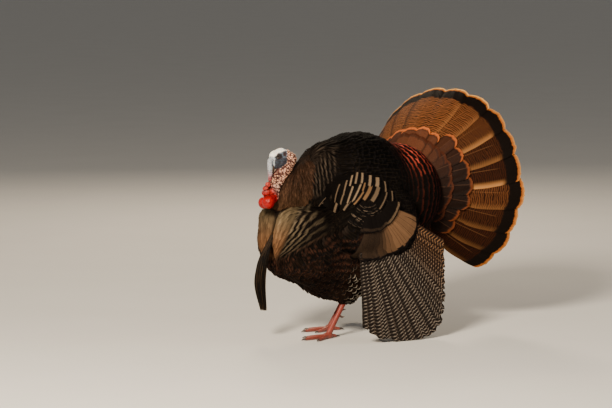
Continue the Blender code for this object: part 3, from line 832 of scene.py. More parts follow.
def fan_feathers(
    name, turns, start, length, half_width, lift, tilt, material, tone, glow, rows, columns, stem, depth, square
):
    """A ring of long feathers on the fan's surface, from start to length. turns are their shafts' angles,
    half_width is theirs at the widest, stem its share at the root, lift how far they stand off the fan,
    tilt how much further their outer edge does; depth and square shape their ends."""
    count = len(turns)
    attributes = long_attributes(count, length - start, tone, glow)
    along, across, _ = vane_grid(rows, columns, 1.25)
    length = np.broadcast_to(length, (count,)) * RNG.uniform(0.985, 1.012, count)
    half = np.broadcast_to(half_width, (count,))[:, None, None]
    fray = RNG.normal(0, 1, (count, columns)) * 0.0010
    end = length[:, None] - depth * np.abs(across[0])[None] ** square + fray
    distance = start + (end - start)[:, None, :] * along[None]
    share = (distance - start) / (length[:, None, None] - start)
    broad = (stem + (1 - stem) * smooth(0.0, 0.72, share)) * (1 - 0.10 * smooth(0.86, 1.0, share))
    aside = across[None]
    turn = turns[:, None, None] + aside * broad * half / (0.02 + 0.70 * distance)
    outer = np.sign(turns + 1e-6)[:, None, None]
    camber = 0.05 * half * (1 - aside**2)
    shaft = 0.0006 * np.exp(-((aside / 0.07) ** 2))
    ripple = 0.0007 * np.sin(aside * 9 + distance * 60 + turns[:, None, None] * 20)
    height = lift + tilt * (aside * outer) * broad + camber + ripple + shaft
    height = height + RNG.normal(0, 0.0006, (count, 1, 1)) * share
    points = fan_place(turn, distance, height)
    piece = vane_mesh(name, points, along, across, attributes, MATERIALS[material], *strip_unwrap(count))
    return piece


def build_tail():
    """The fan's long feathers, two rings of coverts over them and one under them."""
    count = 18
    turns = np.radians(np.linspace(-144, 144, count))
    # Per feather, painted light: how brightly its chestnut and its tip's edge are lit.
    tone = (
        0.1, 0.15, 0.2, 0.3, 0.4, 0.5, 0.60, 0.58, 0.55, 0.50, 0.40, 0.20, 0.06, 0.02, 0.22, 0.06, 0.02, 0.0,
    )
    # Per feather, the strength of the painted highlight on its lit edge, strongest on three feathers.
    glow = np.full(count, 0.20)
    glow[[11, 12, 13]] = 0.55, 0.30, 0.90
    tail = fan_feathers(
        "tail_feathers", turns, 0.03, FAN_LENGTH, 0.0545, 0.0015, 0.0035, "tail", tone, glow,
        rows=60, columns=15, stem=0.30, depth=0.012, square=3.0,
    )
    for node in ("tail_fan_left", "tail_fan_centre", "tail_fan_right"):
        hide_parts(node)
    turns = np.radians(np.linspace(-134, 134, count))
    away = np.degrees(np.abs(turns))
    # Per feather, painted light: the edge's glow fades away from the top, and the plates near the top are lit.
    glow = np.clip(1.0 - 0.0150 * np.maximum(away - 18, 0), 0.14, 1.0) * RNG.uniform(0.8, 1.0, count)
    tone = np.exp(-((np.degrees(turns) - 6) / 34) ** 2)
    length = 0.258 - 0.034 * np.exp(-((away - 15) / 52) ** 2) - 0.026 * smooth(88, 122, away)
    length = length + RNG.normal(0, 0.006, count)
    coverts = fan_feathers(
        "tail_coverts", turns, 0.02, length, RNG.uniform(0.024, 0.034, count), 0.0095, 0.0036, "covert",
        tone, glow, rows=34, columns=13, stem=0.45, depth=0.014, square=3.0,
    )
    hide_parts("tail_coverts_left", "tail_coverts_right")
    count = 21
    turns = np.radians(np.linspace(-126, 126, count))
    # Painted light: the plates near the top are lit.
    tone = np.exp(-((np.degrees(turns) - 4) / 40) ** 2)
    length = 0.185 + RNG.normal(0, 0.007, count)
    fan_feathers(
        "tail_coverts_inner", turns, 0.02, length, 0.030, 0.0150, 0.0026, "covert", tone, 0.0,
        rows=24, columns=9, stem=0.35, depth=0.012, square=2.0,
    )
    count = 20
    turns = np.radians(np.linspace(-150, 150, count))
    length = 0.185 + RNG.normal(0, 0.008, count)
    fan_feathers(
        "tail_coverts_under", turns, 0.02, length, 0.036, -0.0060, -0.0026, "covert", 0.25, 0.5,
        rows=24, columns=9, stem=0.35, depth=0.013, square=2.0,
    )


# ---------------------------------------------------------------- wings

# Each wing's side of the body, the angles below level of its top, middle and lowest feathers, how far back
# it reaches and how far it bulges.
WINGS = {"left": (-1, (30, 57, 93), 0.277, 0.090), "right": (1, (28, 48, 67), 0.258, 0.085)}
WING_ROOT = np.array((-0.220, 0.150, 0.470))
WING_DROP = 0.475
WING_CORNER = 0.505


def wing_place(side, bulge, droop, reach, lift):
    """A point on a wing: droop is the angle below the horizontal, reach the distance from the wing's root."""
    grow = np.sin(np.minimum(reach / WING_CORNER, 1) * math.pi / 2) ** 0.8
    x = WING_ROOT[0] + reach * np.cos(droop)
    z = WING_ROOT[2] - reach * np.sin(droop)
    y = (WING_ROOT[1] + bulge * grow + lift) * side
    return np.stack((x, y, z), axis=-1) + SHIFT_NP


def wing_reach(back, droop):
    """How far a wing feather reaches: a box with round corners, in polar form."""
    a = np.cos(droop) / back
    b = np.sin(droop) / WING_DROP
    return (np.abs(a) ** 7 + np.abs(b) ** 7) ** (-1 / 7)


def build_remiges(name):
    """A wing's 15 secondaries and 10 primaries, each with its upper edge tucked under the next one up."""
    side, (top, middle, low), back, bulge = WINGS[name]
    secondaries = np.linspace(top + 1.5, middle, 15)
    primaries = np.linspace(middle + 3.2, low - 2.0, 10)
    droops = np.radians(np.concatenate((secondaries, primaries)))
    count, rows, columns = len(droops), 54, 7
    ends = wing_reach(back, droops) - RNG.uniform(0.0, 0.006, count)
    ends[15:] -= np.linspace(0.0, 0.004, 10) + 0.046 * np.linspace(0, 1, 10) ** 4
    half = np.clip(np.gradient(droops) * ends * 1.05, 0.016, 0.030)
    rust = np.clip(1.15 - np.arange(count) / 11, 0, 1)
    start = 0.09
    attributes = long_attributes(count, ends - start, rust, 0.5)
    along, across, _ = vane_grid(rows, columns, 1.3)
    droops, ends, half, aside = droops[:, None, None], ends[:, None, None], half[:, None, None], across[None]
    end = ends - 0.35 * half * np.abs(across[:1][None]) ** 2.4 + RNG.normal(0, 0.0022, (count, 1, columns))
    reach = start + (end - start) * along[None]
    offset = aside * half * (0.45 + 0.55 * smooth(0.0, 0.5, along[None]))
    droop = droops - offset / np.maximum(reach, 0.08)
    height = 0.0052 - 0.0022 * aside * smooth(0.0, 0.4, along[None]) + 0.06 * half * (1 - aside**2)
    height = height + RNG.normal(0, 0.0006, (count, 1, 1)) * along[None]
    points = wing_place(side, bulge, droop, reach, height)
    points[..., 2] = np.maximum(points[..., 2], 0.001)
    wing = vane_mesh(
        f"wing_{name}_remiges", points, along, across, attributes, MATERIALS["wing"], *strip_unwrap(count)
    )
    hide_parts(f"wing_{name}_primaries", f"wing_{name}_secondaries")


def cast_on(tree, side, x, z):
    """Where lines from outside along Y meet the body or the wing, with the surface's normal."""
    points, outs = np.empty((2, *x.shape, 3))
    for at in np.ndindex(*x.shape):
        hit, normal, _, _ = tree.ray_cast(Vector((x[at], side * 0.6, z[at])), Vector((0, -side, 0)))
        if hit is None:
            hit, normal, _, _ = tree.find_nearest(Vector((x[at], side * 0.25, z[at])))
        points[at] = hit
        outs[at] = -normal if normal.y * side < 0 else normal
    return points, outs


def wing_coat(
    name, side, tree, x, z, droops, lengths, width, attributes, rows, columns, base, lift,
    widest=0.8, jitter=0.03, material="banded",
):
    """Coverts or scapulars that lie on the wing's outside from these roots, each along its own droop."""
    steps = np.linspace(0, 1, 5)
    droops = droops + RNG.normal(0, jitter, len(x))
    x = x[:, None] + lengths[:, None] * steps[None] * np.cos(droops)[:, None]
    z = z[:, None] - lengths[:, None] * steps[None] * np.sin(droops)[:, None]
    points, outs = cast_on(tree, side, x, z)
    lift = base + lift * RNG.uniform(0.8, 1.15, (len(x), 1)) * steps[None] ** 0.7
    outs = unit(outs + np.array((0, side * 0.8, 0)))
    points = points + outs * lift[..., None]
    widths = np.broadcast_to(width, (len(x),))
    piece = coat(
        name, points, outs, widths, points[:, 0], attributes, rows, columns, widest,
        camber=0.16, power=1.7, stem=0.5, paint=None, material=material,
    )


def build_coverts(name, skin):
    """A wing's coverts, in rings round its root, and its scapulars."""
    side, (top, _, low), _, _ = WINGS[name]
    tree = tree_of(skin.data, *(NODES[f"wing_{name}_{part}"].data for part in ("primaries", "secondaries")))

    def ring(kind, near, far, droops, width, attributes, **shape):
        x = WING_ROOT[0] + SHIFT.x + near * np.cos(droops)
        z = WING_ROOT[2] - near * np.sin(droops)
        wing_coat(f"wing_{name}_{kind}", side, tree, x, z, droops, far - near, width, attributes, **shape)

    # Greater coverts, bronze-brown with dark edges, the lower ones darker as painted shade.
    number = 17
    droops = np.radians(np.linspace(top + 1, low + 3, number) + RNG.normal(0, 0.4, number))
    far = 0.208 + RNG.normal(0, 0.002, number)
    tone = blend(smooth(0.28, 0.72, np.linspace(0, 1, number)), (0.138, 0.074, 0.038), (0.020, 0.013, 0.009))
    attributes = colours(number, tone * 0.7, 0.0, tone, -0.5, 0.0, 0.85)
    near = np.full(number, 0.086)
    shape = {"rows": 18, "columns": 11, "base": 0.0100, "lift": 0.0035, "widest": 0.9}
    ring("greater_coverts", near, far, droops, 0.044, attributes, **shape)

    # The middle coverts' row, with broad pale bronze ends and a black edge, the lower ones darker as painted
    # shade.
    number = 19
    droops = np.radians(np.linspace(top - 10, low + 8, number) + RNG.normal(0, 0.6, number))
    far = 0.112 + RNG.normal(0, 0.0016, number)
    tone = blend(smooth(0.10, 0.65, np.linspace(0, 1, number)), (0.105, 0.070, 0.042), (0.016, 0.011, 0.008))
    attributes = colours(number, (0.0050, 0.0038, 0.0034), 0.0, tone, 0.76, 0.0, 0.3)
    near = far - 0.050
    shape = {"rows": 16, "columns": 9, "base": 0.0120, "lift": 0.0050, "widest": 0.9}
    ring("middle_coverts", near, far, droops, 0.034, attributes, **shape)

    # Lesser coverts in rows.
    rows = []
    first, last = top - 10, 128
    for tip_at in (0.105, 0.098, 0.091, 0.084, 0.077, 0.070, 0.063, 0.056, 0.049, 0.042, 0.035):
        number = max(6, int(math.radians(last - first) * tip_at / 0.0145))
        droops = np.radians(np.linspace(first, last, number) + RNG.normal(0, 1.0, number))
        rows.append((droops, tip_at + RNG.normal(0, 0.0018, number)))
    droops, far = np.hstack(rows)
    number = len(far)
    tip = blend(RNG.random(number) ** 1.5, (0.012, 0.009, 0.007), (0.150, 0.108, 0.076))
    attributes = colours(number, (0.0050, 0.0040, 0.0036), 0.1, tip, 0.935, 0.08, 0.03)
    near = np.maximum(far - 0.038, 0.004)
    shape = {"rows": 8, "columns": 7, "base": 0.003, "lift": 0.007, "material": "plumage"}
    ring("coverts", near, far, droops, 0.022, attributes, **shape)

    # Scapulars: rows of broad feathers, each row an arc of pale bronze bands with black edges. For each
    # row: where the middle of its ends is, how tall it is, its feathers' length and the depth of their pale
    # bands.
    rows = (
        (-0.298, 0.462, 0.070, 0.018, 0.0024), (-0.282, 0.466, 0.088, 0.024, 0.0034),
        (-0.266, 0.472, 0.105, 0.036, 0.0044), (-0.248, 0.478, 0.110, 0.048, 0.0054),
        (-0.228, 0.486, 0.090, 0.060, 0.0070), (-0.205, 0.490, 0.064, 0.066, 0.0105),
        (-0.180, 0.484, 0.062, 0.068, 0.0130), (-0.156, 0.466, 0.070, 0.066, 0.0070),
        (-0.136, 0.436, 0.070, 0.060, 0.0058),
    )
    radius = 0.100
    feathers, tones_and_shade = [], []
    for row, (row_x, row_z, tall, length, pale) in enumerate(rows):
        steep = math.radians(30 - 1.4 * row)
        pivot = np.array((row_x, row_z)) - radius * np.array((math.cos(steep), -math.sin(steep)))
        number = max(2, round(tall / 0.034))
        for place in (np.arange(number) - (number - 1) / 2) * tall / number:
            droop = steep + place / radius
            out = radius + RNG.normal(0, 0.0004) - length
            x, z = pivot + out * np.array((math.cos(droop), -math.sin(droop)))
            feathers.append((x, z, droop, length, 0.94 - pale / length, tall / number * 1.75))
            # Painted shade: the lower feathers of each row and the first two and last two rows are darker.
            row_shade = max(0.0, place) * 5 + 0.30 * (row < 2 or row > 6)
            warm = np.array((1.0, 0.80, 0.60)) if row in (4, 5) and RNG.random() > 0.5 else 1.0
            tones_and_shade.append(np.array((0.150, 0.104, 0.066)) * warm * (1 - min(row_shade, 0.7)) * RNG.uniform(0.82, 1.15))
    x, z, droops, lengths, starts, widths = np.array(feathers).T
    attributes = colours(len(x), (0.0034, 0.0027, 0.0024), 0.0, np.array(tones_and_shade), starts, 0.10, 0.0)
    wing_coat(
        f"wing_{name}_scapulars", side, tree, x + SHIFT.x, z, droops, lengths, widths, attributes,
        rows=18, columns=9, base=0.003, lift=0.012, widest=0.93, jitter=0.005,
    )


# ---------------------------------------------------------------- rump rows and body coat

CLEFT_FOOT = np.array((-0.445, 0.015, 0.242))
RUMP_MIDDLE = np.array((0.015, 0.0, 0.455))


def build_rump(tree):
    """Rows of short feathers round the fan's axis, over the rump's dome."""
    roots, places = [], []
    for at in np.arange(-0.168, 0.112, 0.0172):
        origin = RUMP_MIDDLE + SHIFT_NP + FAN_AXIS * at
        radius = 0.165 * math.sqrt(max(0.05, 1 - (max(at, 0) / 0.16) ** 2))
        number = int(2 * math.pi * radius * 0.82 / 0.0215)
        for turn in np.radians(np.linspace(-148, 148, number) + RNG.uniform(-2, 2)):
            turn = turn + RNG.normal(0, 0.010)
            radial = FAN_UP * math.cos(turn) + FAN_LEFT * math.sin(turn)
            hit = tree.ray_cast(Vector(origin + FAN_AXIS * RNG.normal(0, 0.0013)), Vector(radial))[0]
            if hit is not None:
                roots.append(hit)
                places.append((at, turn))
    roots, (at, turn) = np.array(roots), np.array(places).T
    count = len(roots)
    away = np.degrees(np.abs(turn))
    late = smooth(0.02, 0.07, at) * smooth(118, 80, away)
    red = smooth(-0.150, -0.060, at) * np.maximum(smooth(82, 26, away), 0.10 + 0.30 * late)
    red = np.clip(red * RNG.uniform(0.45, 1.20, count), 0, 1)
    tip = blend(red**1.25, (0.008, 0.0042, 0.003), (0.44, 0.066, 0.040)) * RNG.uniform(0.55, 1.20, (count, 1))
    tip[(RNG.random(count) > 0.90) & (red > 0.4)] = (0.050, 0.036, 0.012)
    ground = blend(RNG.random(count) * red, (0.004, 0.0035, 0.003), (0.016, 0.006, 0.004))
    attributes = colours(count, ground, 0.0, tip, 0.872, 0.05, 0.0)
    lengths, widths = RNG.uniform(0.049, 0.052, count), RNG.uniform(0.046, 0.052, count)
    contour_coat(
        "rump_coat", tree, roots, lengths, widths, attributes, flow=lambda p: np.tile(FAN_AXIS, (len(p), 1)),
        rows=10, columns=9, jitter=0.02, lift=0.0080, widest=0.86,
    )


def on_rump(points):
    """Whether a point lies under the rump's rows."""
    p = design(points) - RUMP_MIDDLE
    turn = np.arctan2(p @ FAN_LEFT, p @ FAN_UP)
    return (p @ FAN_AXIS > -0.150) & (np.abs(turn) < math.radians(146)) & (p[:, 2] > 0.27 - RUMP_MIDDLE[2])


def on_wing(points):
    """Whether a point lies under the wing's own coverts."""
    p = design(points)
    side = np.abs(p[:, 1]) > 0.150
    x, z = p[:, 0] - WING_ROOT[0], p[:, 2] - WING_ROOT[2]
    droop = np.degrees(np.arctan2(-z, x))
    away = np.hypot(x, z)
    return side & (away < 0.115) & (droop > np.where(away < 0.06, -20, 18)) & (droop < 112)


def in_ruff(points):
    """From 0 off the neck's hair-like feathers to 1 on them."""
    p = design(points)
    away = np.sqrt(((p[:, 0] + 0.350) / 0.105) ** 2 + (p[:, 1] / 0.105) ** 2 + ((p[:, 2] - 0.490) / 0.115) ** 2)
    limit = -0.266 - 0.012 * smooth(0.50, 0.44, p[:, 2])
    return smooth(1.10, 1.02, away) * (p[:, 2] > 0.429) * (across_of(p) < limit)


def ruff_flow(points):
    """Down the neck, away from its top."""
    away = unit(points - (np.array((-0.375, 0.0, 0.600)) + SHIFT_NP))
    return unit(away + np.array((-0.15, 0.0, -0.9)))


def build_ruff(skin, tree):
    """Fine hair-like bronze feathers on the neck."""
    roots = scattered(skin.data, lambda p: in_ruff(p) > 0.5, lambda p: np.full(len(p), 0.0034), 90000)
    count = len(roots)
    p = design(roots)
    front = smooth(-0.300, -0.370, across_of(p))
    ground = blend(smooth(0.46, 0.55, p[:, 2]), (0.036, 0.0180, 0.0090), (0.036, 0.0178, 0.0108))
    ground = ground * (0.70 + 0.65 * front)[:, None] * RNG.uniform(0.5, 1.45, (count, 1))
    # Painted shade: darker towards the ruff's lower edge.
    ground = ground * (1 - smooth(0.452, 0.436, p[:, 2]) * 0.6)[:, None]
    attributes = colours(count, ground, 0.15, ground * 1.5, 0.75, 0.0, 0.25)
    contour_coat(
        "ruff_coat", tree, roots, np.minimum(RNG.uniform(0.042, 0.060, count), p[:, 2] - 0.413),
        RNG.uniform(0.0032, 0.0050, count), attributes,
        flow=ruff_flow, rows=6, columns=3, jitter=0.06, lift=0.0060, widest=0.25, camber=0.1,
    )


def across_of(p):
    """How far round from the breast's middle towards the flank a point of either side lies."""
    return 0.866 * p[:, 0] + 0.5 * np.abs(p[:, 1])


def breast_share(p):
    """1 on the breast's two lobes, 0 on the belly below them and behind them."""
    above = p[:, 2] - (0.250 + 0.52 * (across_of(p) + 0.385))
    return smooth(-0.010, 0.025, above) * smooth(-0.19, -0.25, p[:, 0]) * smooth(0.478, 0.455, p[:, 2])


def mantle_share(p):
    """1 on the shoulders beside and behind the neck's bronze."""
    across = across_of(p)
    level = smooth(0.39, 0.43, p[:, 2]) * smooth(0.66, 0.61, p[:, 2])
    return smooth(-0.300, -0.270, across) * smooth(-0.160, -0.200, across) * level


def body_flow(points):
    """The coat's lie: over the back to the tail, down the shoulders, on the breast towards the foot of its
    cleft."""
    p = design(points)
    aside = np.abs(p[:, 1])
    foot = np.tile(CLEFT_FOOT, (len(p), 1))
    foot[:, 1] *= np.sign(p[:, 1] + 1e-9)
    breast = breast_share(p)[:, None]
    mantle = mantle_share(p) * smooth(0.02, 0.06, aside)
    thigh = smooth(0.20, 0.15, p[:, 2]) * smooth(0.030, 0.050, aside)
    flow = flow_at(points) + mantle[:, None] * np.array((-0.15, 0.0, -1.6))
    flow = flow + thigh[:, None] * np.array((0.0, 0.0, -1.2))
    return unit(flow * (1 - breast) + unit(foot - p) * breast * 1.5)


def wave_of(across, z):
    """Counts the painted highlight streaks that leave the foot of the breast's cleft."""
    return np.arctan2(z - 0.242, across + 0.395) * 0.115 / 0.0120


def regions(p):
    """Where each marking of the body lies, with its painted shade and painted highlights, and its colours, for
    points in the design's frame.
    """
    x, y, z = p.T
    across = across_of(p)
    breast = breast_share(p)
    limit = -0.364 + 0.43 * (z - 0.2785)
    outer = smooth(limit - 0.010, limit + 0.006, across)
    top_line = 0.449 - 0.75 * (across + 0.287)
    mantle = mantle_share(p) * (1 - breast)
    r = {
        "breast": breast,
        "bronze": breast * (1 - outer),
        "streak": breast * outer * smooth(-0.205, -0.225, across) * smooth(0.010, -0.006, z - top_line),
        "belly": smooth(0.30, 0.22, z) * (1 - breast),
        "mantle": mantle,
        "hump": smooth(0.50, 0.58, z) * smooth(-0.27, -0.17, x) * (1 - mantle),
        "flank": smooth(0.30, 0.22, z) * smooth(-0.30, -0.20, x) * (1 - breast),
        "vent": smooth(0.02, 0.08, x) * smooth(0.45, 0.38, z),
        # The cleft: painted shade in the groove between the breast's lobes.
        "cleft": breast * smooth(0.013, 0.006, np.abs(y)),
        "under": (1 - breast) * smooth(-0.19, -0.25, x) * smooth(0.19, 0.23, z) * smooth(0.36, 0.33, z),
    }
    top = smooth(0.30, 0.41, z)
    round_foot = wave_of(across, z)
    # Painted shade on the bronze: darker on the far lobe, high up under the ruff and towards the near lobe's
    # outer edge. The last factor waves it along the streaks.
    shade = 1 - 0.45 * smooth(-0.005, 0.015, y) - 0.40 * smooth(0.425, 0.445, z)
    shade = shade * (1 - 0.50 * smooth(limit - 0.055, limit, across) * (y < 0.015))
    shade = shade * (0.90 + 0.22 * np.sin(round_foot * 6.0))
    # The bronze's own colour, red-brown low down and turned olive towards the top as a painted highlight.
    r["lobe"] = blend(top, (0.270, 0.130, 0.060), (0.190, 0.138, 0.078)) * shade[:, None]
    # The pale streaks' colour: painted highlights on the feathers' edges, brighter higher up and fainter
    # further round from the bronze.
    far_out = np.clip((across - limit) / 0.095, 0, 1)
    r["pale"] = np.array((0.200, 0.150, 0.094)) * ((1.0 - 0.72 * far_out) * (0.55 + 0.45 * top))[:, None]
    down_shoulder = (across + 0.12 * (z - 0.5)) / 0.0130
    wave = np.where((breast > 0.5) | (z < 0.36), round_foot, down_shoulder)
    wobble = 0.16 * np.sin(across * 60 + 2.0) + 0.10 * np.sin(z * 75 + across * 40)
    wobble = wobble + 0.09 * np.sin(z * 230 + wave * 2.0)
    ripple = np.sin(2 * math.pi * (wave + wobble)) - np.where(breast > 0.5, 0.22, 0.05)
    strength = 0.72 + 0.28 * np.sin(wave * 1.7 + 1.0) * np.sin(z * 48 + wave * 0.6)
    # The streaks' mask: painted highlights along the feathers' edges on the breast, on the mantle and below the
    # breast.
    r["stripe"] = smooth(0.00, 0.50, ripple + 0.10 - 0.50 * (breast < 0.5)) * np.clip(strength, 0, 1)
    return r


def body_tint(p):
    """The skin's colour under the coat: the markings, painted highlights and painted shade of the feathers over
    it, darker as painted shade under the coat.
    """
    r = regions(p)
    return 0.6 * layered(np.tile((0.006, 0.0046, 0.0038), (len(p), 1)), (
        ((0.075, 0.056, 0.038), r["mantle"] * r["stripe"]),
        ((0.022, 0.012, 0.007), r["flank"]),
        (r["pale"], r["streak"] * r["stripe"]),
        (r["lobe"], r["bronze"] * (1 - r["cleft"])),
        ((0.046, 0.021, 0.010), in_ruff(p + SHIFT_NP)),
    ))


def fine_share(p):
    """1 where the coat is of narrow feathers that carry the streaks."""
    return np.clip(breast_share(p) + mantle_share(p), 0, 1)


def streaked(points, attributes):
    """Attributes for each point of the coat's feathers, with painted highlight streaks and painted shade that
    run on from feather to feather.
    """
    each = points.shape[1]
    r = regions(design(points.reshape(-1, 3)))
    vary = np.repeat(RNG.uniform(0.72, 1.18, len(points)), each)[:, None]
    layers = (
        # The pale, mantle and under-breast streaks are painted highlights, and the cleft's dark is painted
        # shade.
        ((0.0052, 0.0040, 0.0034), r["streak"]), (r["pale"], r["streak"] * r["stripe"]),
        ((0.076, 0.056, 0.042), r["mantle"] * r["stripe"]), ((0.060, 0.025, 0.016), r["under"] * r["stripe"]),
        (r["lobe"], r["bronze"]), ((0.004, 0.003, 0.002), r["cleft"] * 0.9),
    )
    layers = [(np.asarray(colour) * vary, share) for colour, share in layers]
    painted = {}
    for key in ("ground", "tip"):
        base = np.repeat(attributes[key], each, axis=0)
        base[:, :3] = layered(base[:, :3], layers)
        painted[key] = base.reshape(-1, each, 4)
    return dict(attributes, **painted)


def build_body(skin, tree):
    """The body's coat, as a front and a rear piece."""
    roots = scattered(
        skin.data,
        keep=lambda p: (in_ruff(p) < 0.5) & ~on_rump(p) & ~on_wing(p),
        spacing=lambda p: 0.0115 - 0.0062 * fine_share(design(p)),
        tries=230000,
        stretch=lambda p: 1.25 + 2.4 * fine_share(design(p)),
        flow=body_flow,
    )
    count = len(roots)
    chance = RNG.random(count)
    fine = fine_share(design(roots))
    # A feather takes its colours from where its tip is seen.
    seen = design(roots + body_flow(roots) * (0.030 + 0.035 * fine)[:, None])
    r = regions(seen)
    bronze, belly, flank, vent, hump = r["bronze"], r["belly"], r["flank"], r["vent"], r["hump"]
    # Both colours are darker in the breast's cleft as painted shade, and the bronze lobes carry their painted
    # shade and highlights.
    ground = layered(np.tile((0.0040, 0.0031, 0.0026), (count, 1)), (
        ((0.013, 0.007, 0.0045), flank * 0.9), ((0.009, 0.005, 0.0035), belly * (chance > 0.4)),
        ((0.045, 0.020, 0.010), vent * 0.9), ((0.0014, 0.0013, 0.0011), hump), (r["lobe"], bronze),
    ))
    ground = ground * (1 + bronze * (chance - 0.5) * 0.5)[:, None] * (1 - 0.95 * r["cleft"])[:, None]
    white = flank * smooth(-0.162, -0.140, across_of(seen)) * smooth(0.250, 0.215, seen[:, 2])
    tip = layered(np.tile((0.012, 0.008, 0.0055), (count, 1)), (
        ((0.004, 0.0035, 0.003), np.maximum(r["streak"], r["mantle"])), ((0.0016, 0.0015, 0.0013), hump),
        ((0.036, 0.016, 0.009), belly * 0.8), ((0.075, 0.038, 0.020), flank * 0.8),
        ((0.22, 0.095, 0.038), vent * 0.8), (r["lobe"] * 1.08 * (1 - 0.9 * r["cleft"])[:, None], bronze),
        ((0.42, 0.36, 0.29), white),
    ))
    start = 0.94 - 0.20 * bronze - 0.02 * white + 0.12 * np.clip(r["streak"] + r["mantle"], 0, 1)
    band = np.where(r["breast"] > 0.3, 0.0, 0.09)
    lengths, widths = 0.048 + 0.032 * fine, 0.026 - 0.0155 * fine + 0.004 * bronze
    front = seen[:, 0] < -0.20
    for name, pick in (("body_coat_front", front), ("body_coat_rear", ~front)):
        number = int(pick.sum())
        metal = 0.35 * bronze[pick]
        attributes = colours(number, ground[pick], metal, tip[pick], start[pick], band[pick], 0.06, 0.02)
        contour_coat(
            name, tree, roots[pick], lengths[pick] * RNG.uniform(0.9, 1.1, number), widths[pick], attributes,
            flow=body_flow, rows=8, columns=5, jitter=0.05, lift=0.0085 + 0.0045 * belly[pick], widest=0.6,
            paint=streaked,
        )


# ---------------------------------------------------------------- head, neck and wattle

HEAD_NODES = ["head", "neck_bare", "wattle", "snood"]
EYE_RADIUS = 0.0062


def head_frame(points):
    """How far points lie along the face, to the bird's left, and above the skull's middle."""
    q = points - np.array(SKULL)
    return q @ np.array(AHEAD), -q[:, 1], q @ np.array(ABOVE)


def eye_middle(side):
    """The middle of the right eye for side 1, of the left for -1."""
    return np.array((EYE_MIDDLE.x, SHIFT.y + side * EYE_PLACE[1], EYE_MIDDLE.z))


def cells(points, size, offset=0.0):
    """Distance from each point to the middle of its nearest cell, and the same for the next, in cell
    sizes."""
    shift = Vector((offset, offset * 0.7, offset * 1.3))
    return np.array([noise.voronoi(Vector(p / size) + shift)[0][:2] for p in points]).T


def fractal(points, size, seed=0.0):
    """Rough noise at each point, in lumps of this size."""
    shift = Vector((seed, seed * 1.7, seed * 0.3))
    return np.array([noise.fractal(Vector(p / size) + shift, 0.8, 2.0, 3) for p in points])


WATTLE_LOBES = (  # middle and radius
    (-0.4680, -0.0160, 0.4465, 0.0205), (-0.4700, -0.0080, 0.4780, 0.0115), (-0.4735, -0.0070, 0.4890, 0.0095),
    (-0.4640, -0.0060, 0.5015, 0.0085), (-0.4660, 0.0150, 0.4420, 0.0190), (-0.4640, 0.0110, 0.4740, 0.0115),
    (-0.4610, 0.0090, 0.4880, 0.0095), (-0.4560, 0.0070, 0.5000, 0.0085),
)


def wattle_share(points):
    """1 on the red lobes under the throat, 0 on the neck, and a wider share that fades on to the neck."""
    d = design(points)
    middle = ((-0.452, 0, 0.458), (0.019, 0.022, 0.029))
    lobes = [middle] + [(lobe[:3], lobe[3]) for lobe in WATTLE_LOBES]
    away = [np.linalg.norm((d - np.array(at)) / np.array(radii), axis=1) for at, radii in lobes]
    nearest = np.min(away, axis=0)
    return smooth(1.20, 1.06, nearest), smooth(1.75, 1.15, nearest)


def rounded_lobes(points, outwards, share):
    """The wattle's lobes made round, with normals to match. share is 1 where a lobe may be rounded."""
    lobes = np.array(WATTLE_LOBES)
    spokes = design(points)[:, None] - lobes[None, :, :3]
    above = np.linalg.norm(spokes, axis=2) - lobes[None, :, 3]
    nearest = (np.arange(len(points)), np.argmin(above, axis=1))
    radial, above = unit(spokes[nearest]), above[nearest]
    share = (share * smooth(0.0034, 0.0018, np.abs(above)))[:, None]
    return points - radial * above[:, None] * share, unit(outwards * (1 - share) + radial * share)


def lobe_crown(points):
    """1 on the wattle's lobes, 0 in the seams where two of them meet."""
    d = design(points)
    away = np.array([np.linalg.norm(d - np.array(lobe[:3]), axis=1) - lobe[3] for lobe in WATTLE_LOBES])
    away.sort(axis=0)
    return smooth(0.0006, 0.0042, away[1] - away[0])


SNOOD = (  # middle and radius
    (-0.4430, -0.002, 0.5850, 0.0085), (-0.4560, -0.006, 0.5780, 0.0084), (-0.4605, -0.013, 0.5600, 0.0084),
    (-0.4610, -0.0150, 0.5370, 0.0074), (-0.4615, -0.0130, 0.5140, 0.0046),
)


def snood_share(points):
    """1 on the snood, 0 off it, and how far along the snood a point lies, from 0 to 1."""
    d = design(points)
    along, best = np.zeros(len(points)), np.full(len(points), 9.0)
    for i, (first, last) in enumerate(zip(np.array(SNOOD), np.array(SNOOD[1:]))):
        run = last[:3] - first[:3]
        t = np.clip((d - first[:3]) @ run / (run @ run), 0, 1)
        away = np.linalg.norm(d - (first[:3] + t[:, None] * run), axis=1) / (first[3] * (1 - t) + last[3] * t)
        along = np.where(away < best, (i + t) / (len(SNOOD) - 1), along)
        best = np.minimum(best, away)
    return smooth(1.5, 1.15, best), along


def with_lids(points):
    """Draws the skin up round each eyeball, and opens it over the eye."""
    for side in (-1, 1):
        eye = eye_middle(side)
        away = points - eye
        distance = np.linalg.norm(away, axis=1)
        along = away @ np.array(AHEAD)
        tilt = away @ np.array(ABOVE) + 0.12 * along
        opening = np.sqrt((along / 0.0050) ** 2 + (tilt / 0.0037) ** 2)
        fold = 0.00045 * np.cos(np.clip((opening - 1.15) * 5.2, -3.2, 9.5)) * smooth(2.9, 1.6, opening)
        wanted = np.where(opening < 0.93, 0.0048, EYE_RADIUS + 0.0007 * smooth(1.9, 1.05, opening) + fold)
        wanted = wanted + np.maximum(distance - 0.0085, 0) * 0.8
        drawn = eye + away / distance[:, None] * wanted[:, None]
        points = blend(smooth(0.0125, 0.0078, distance), points, drawn)
    return points


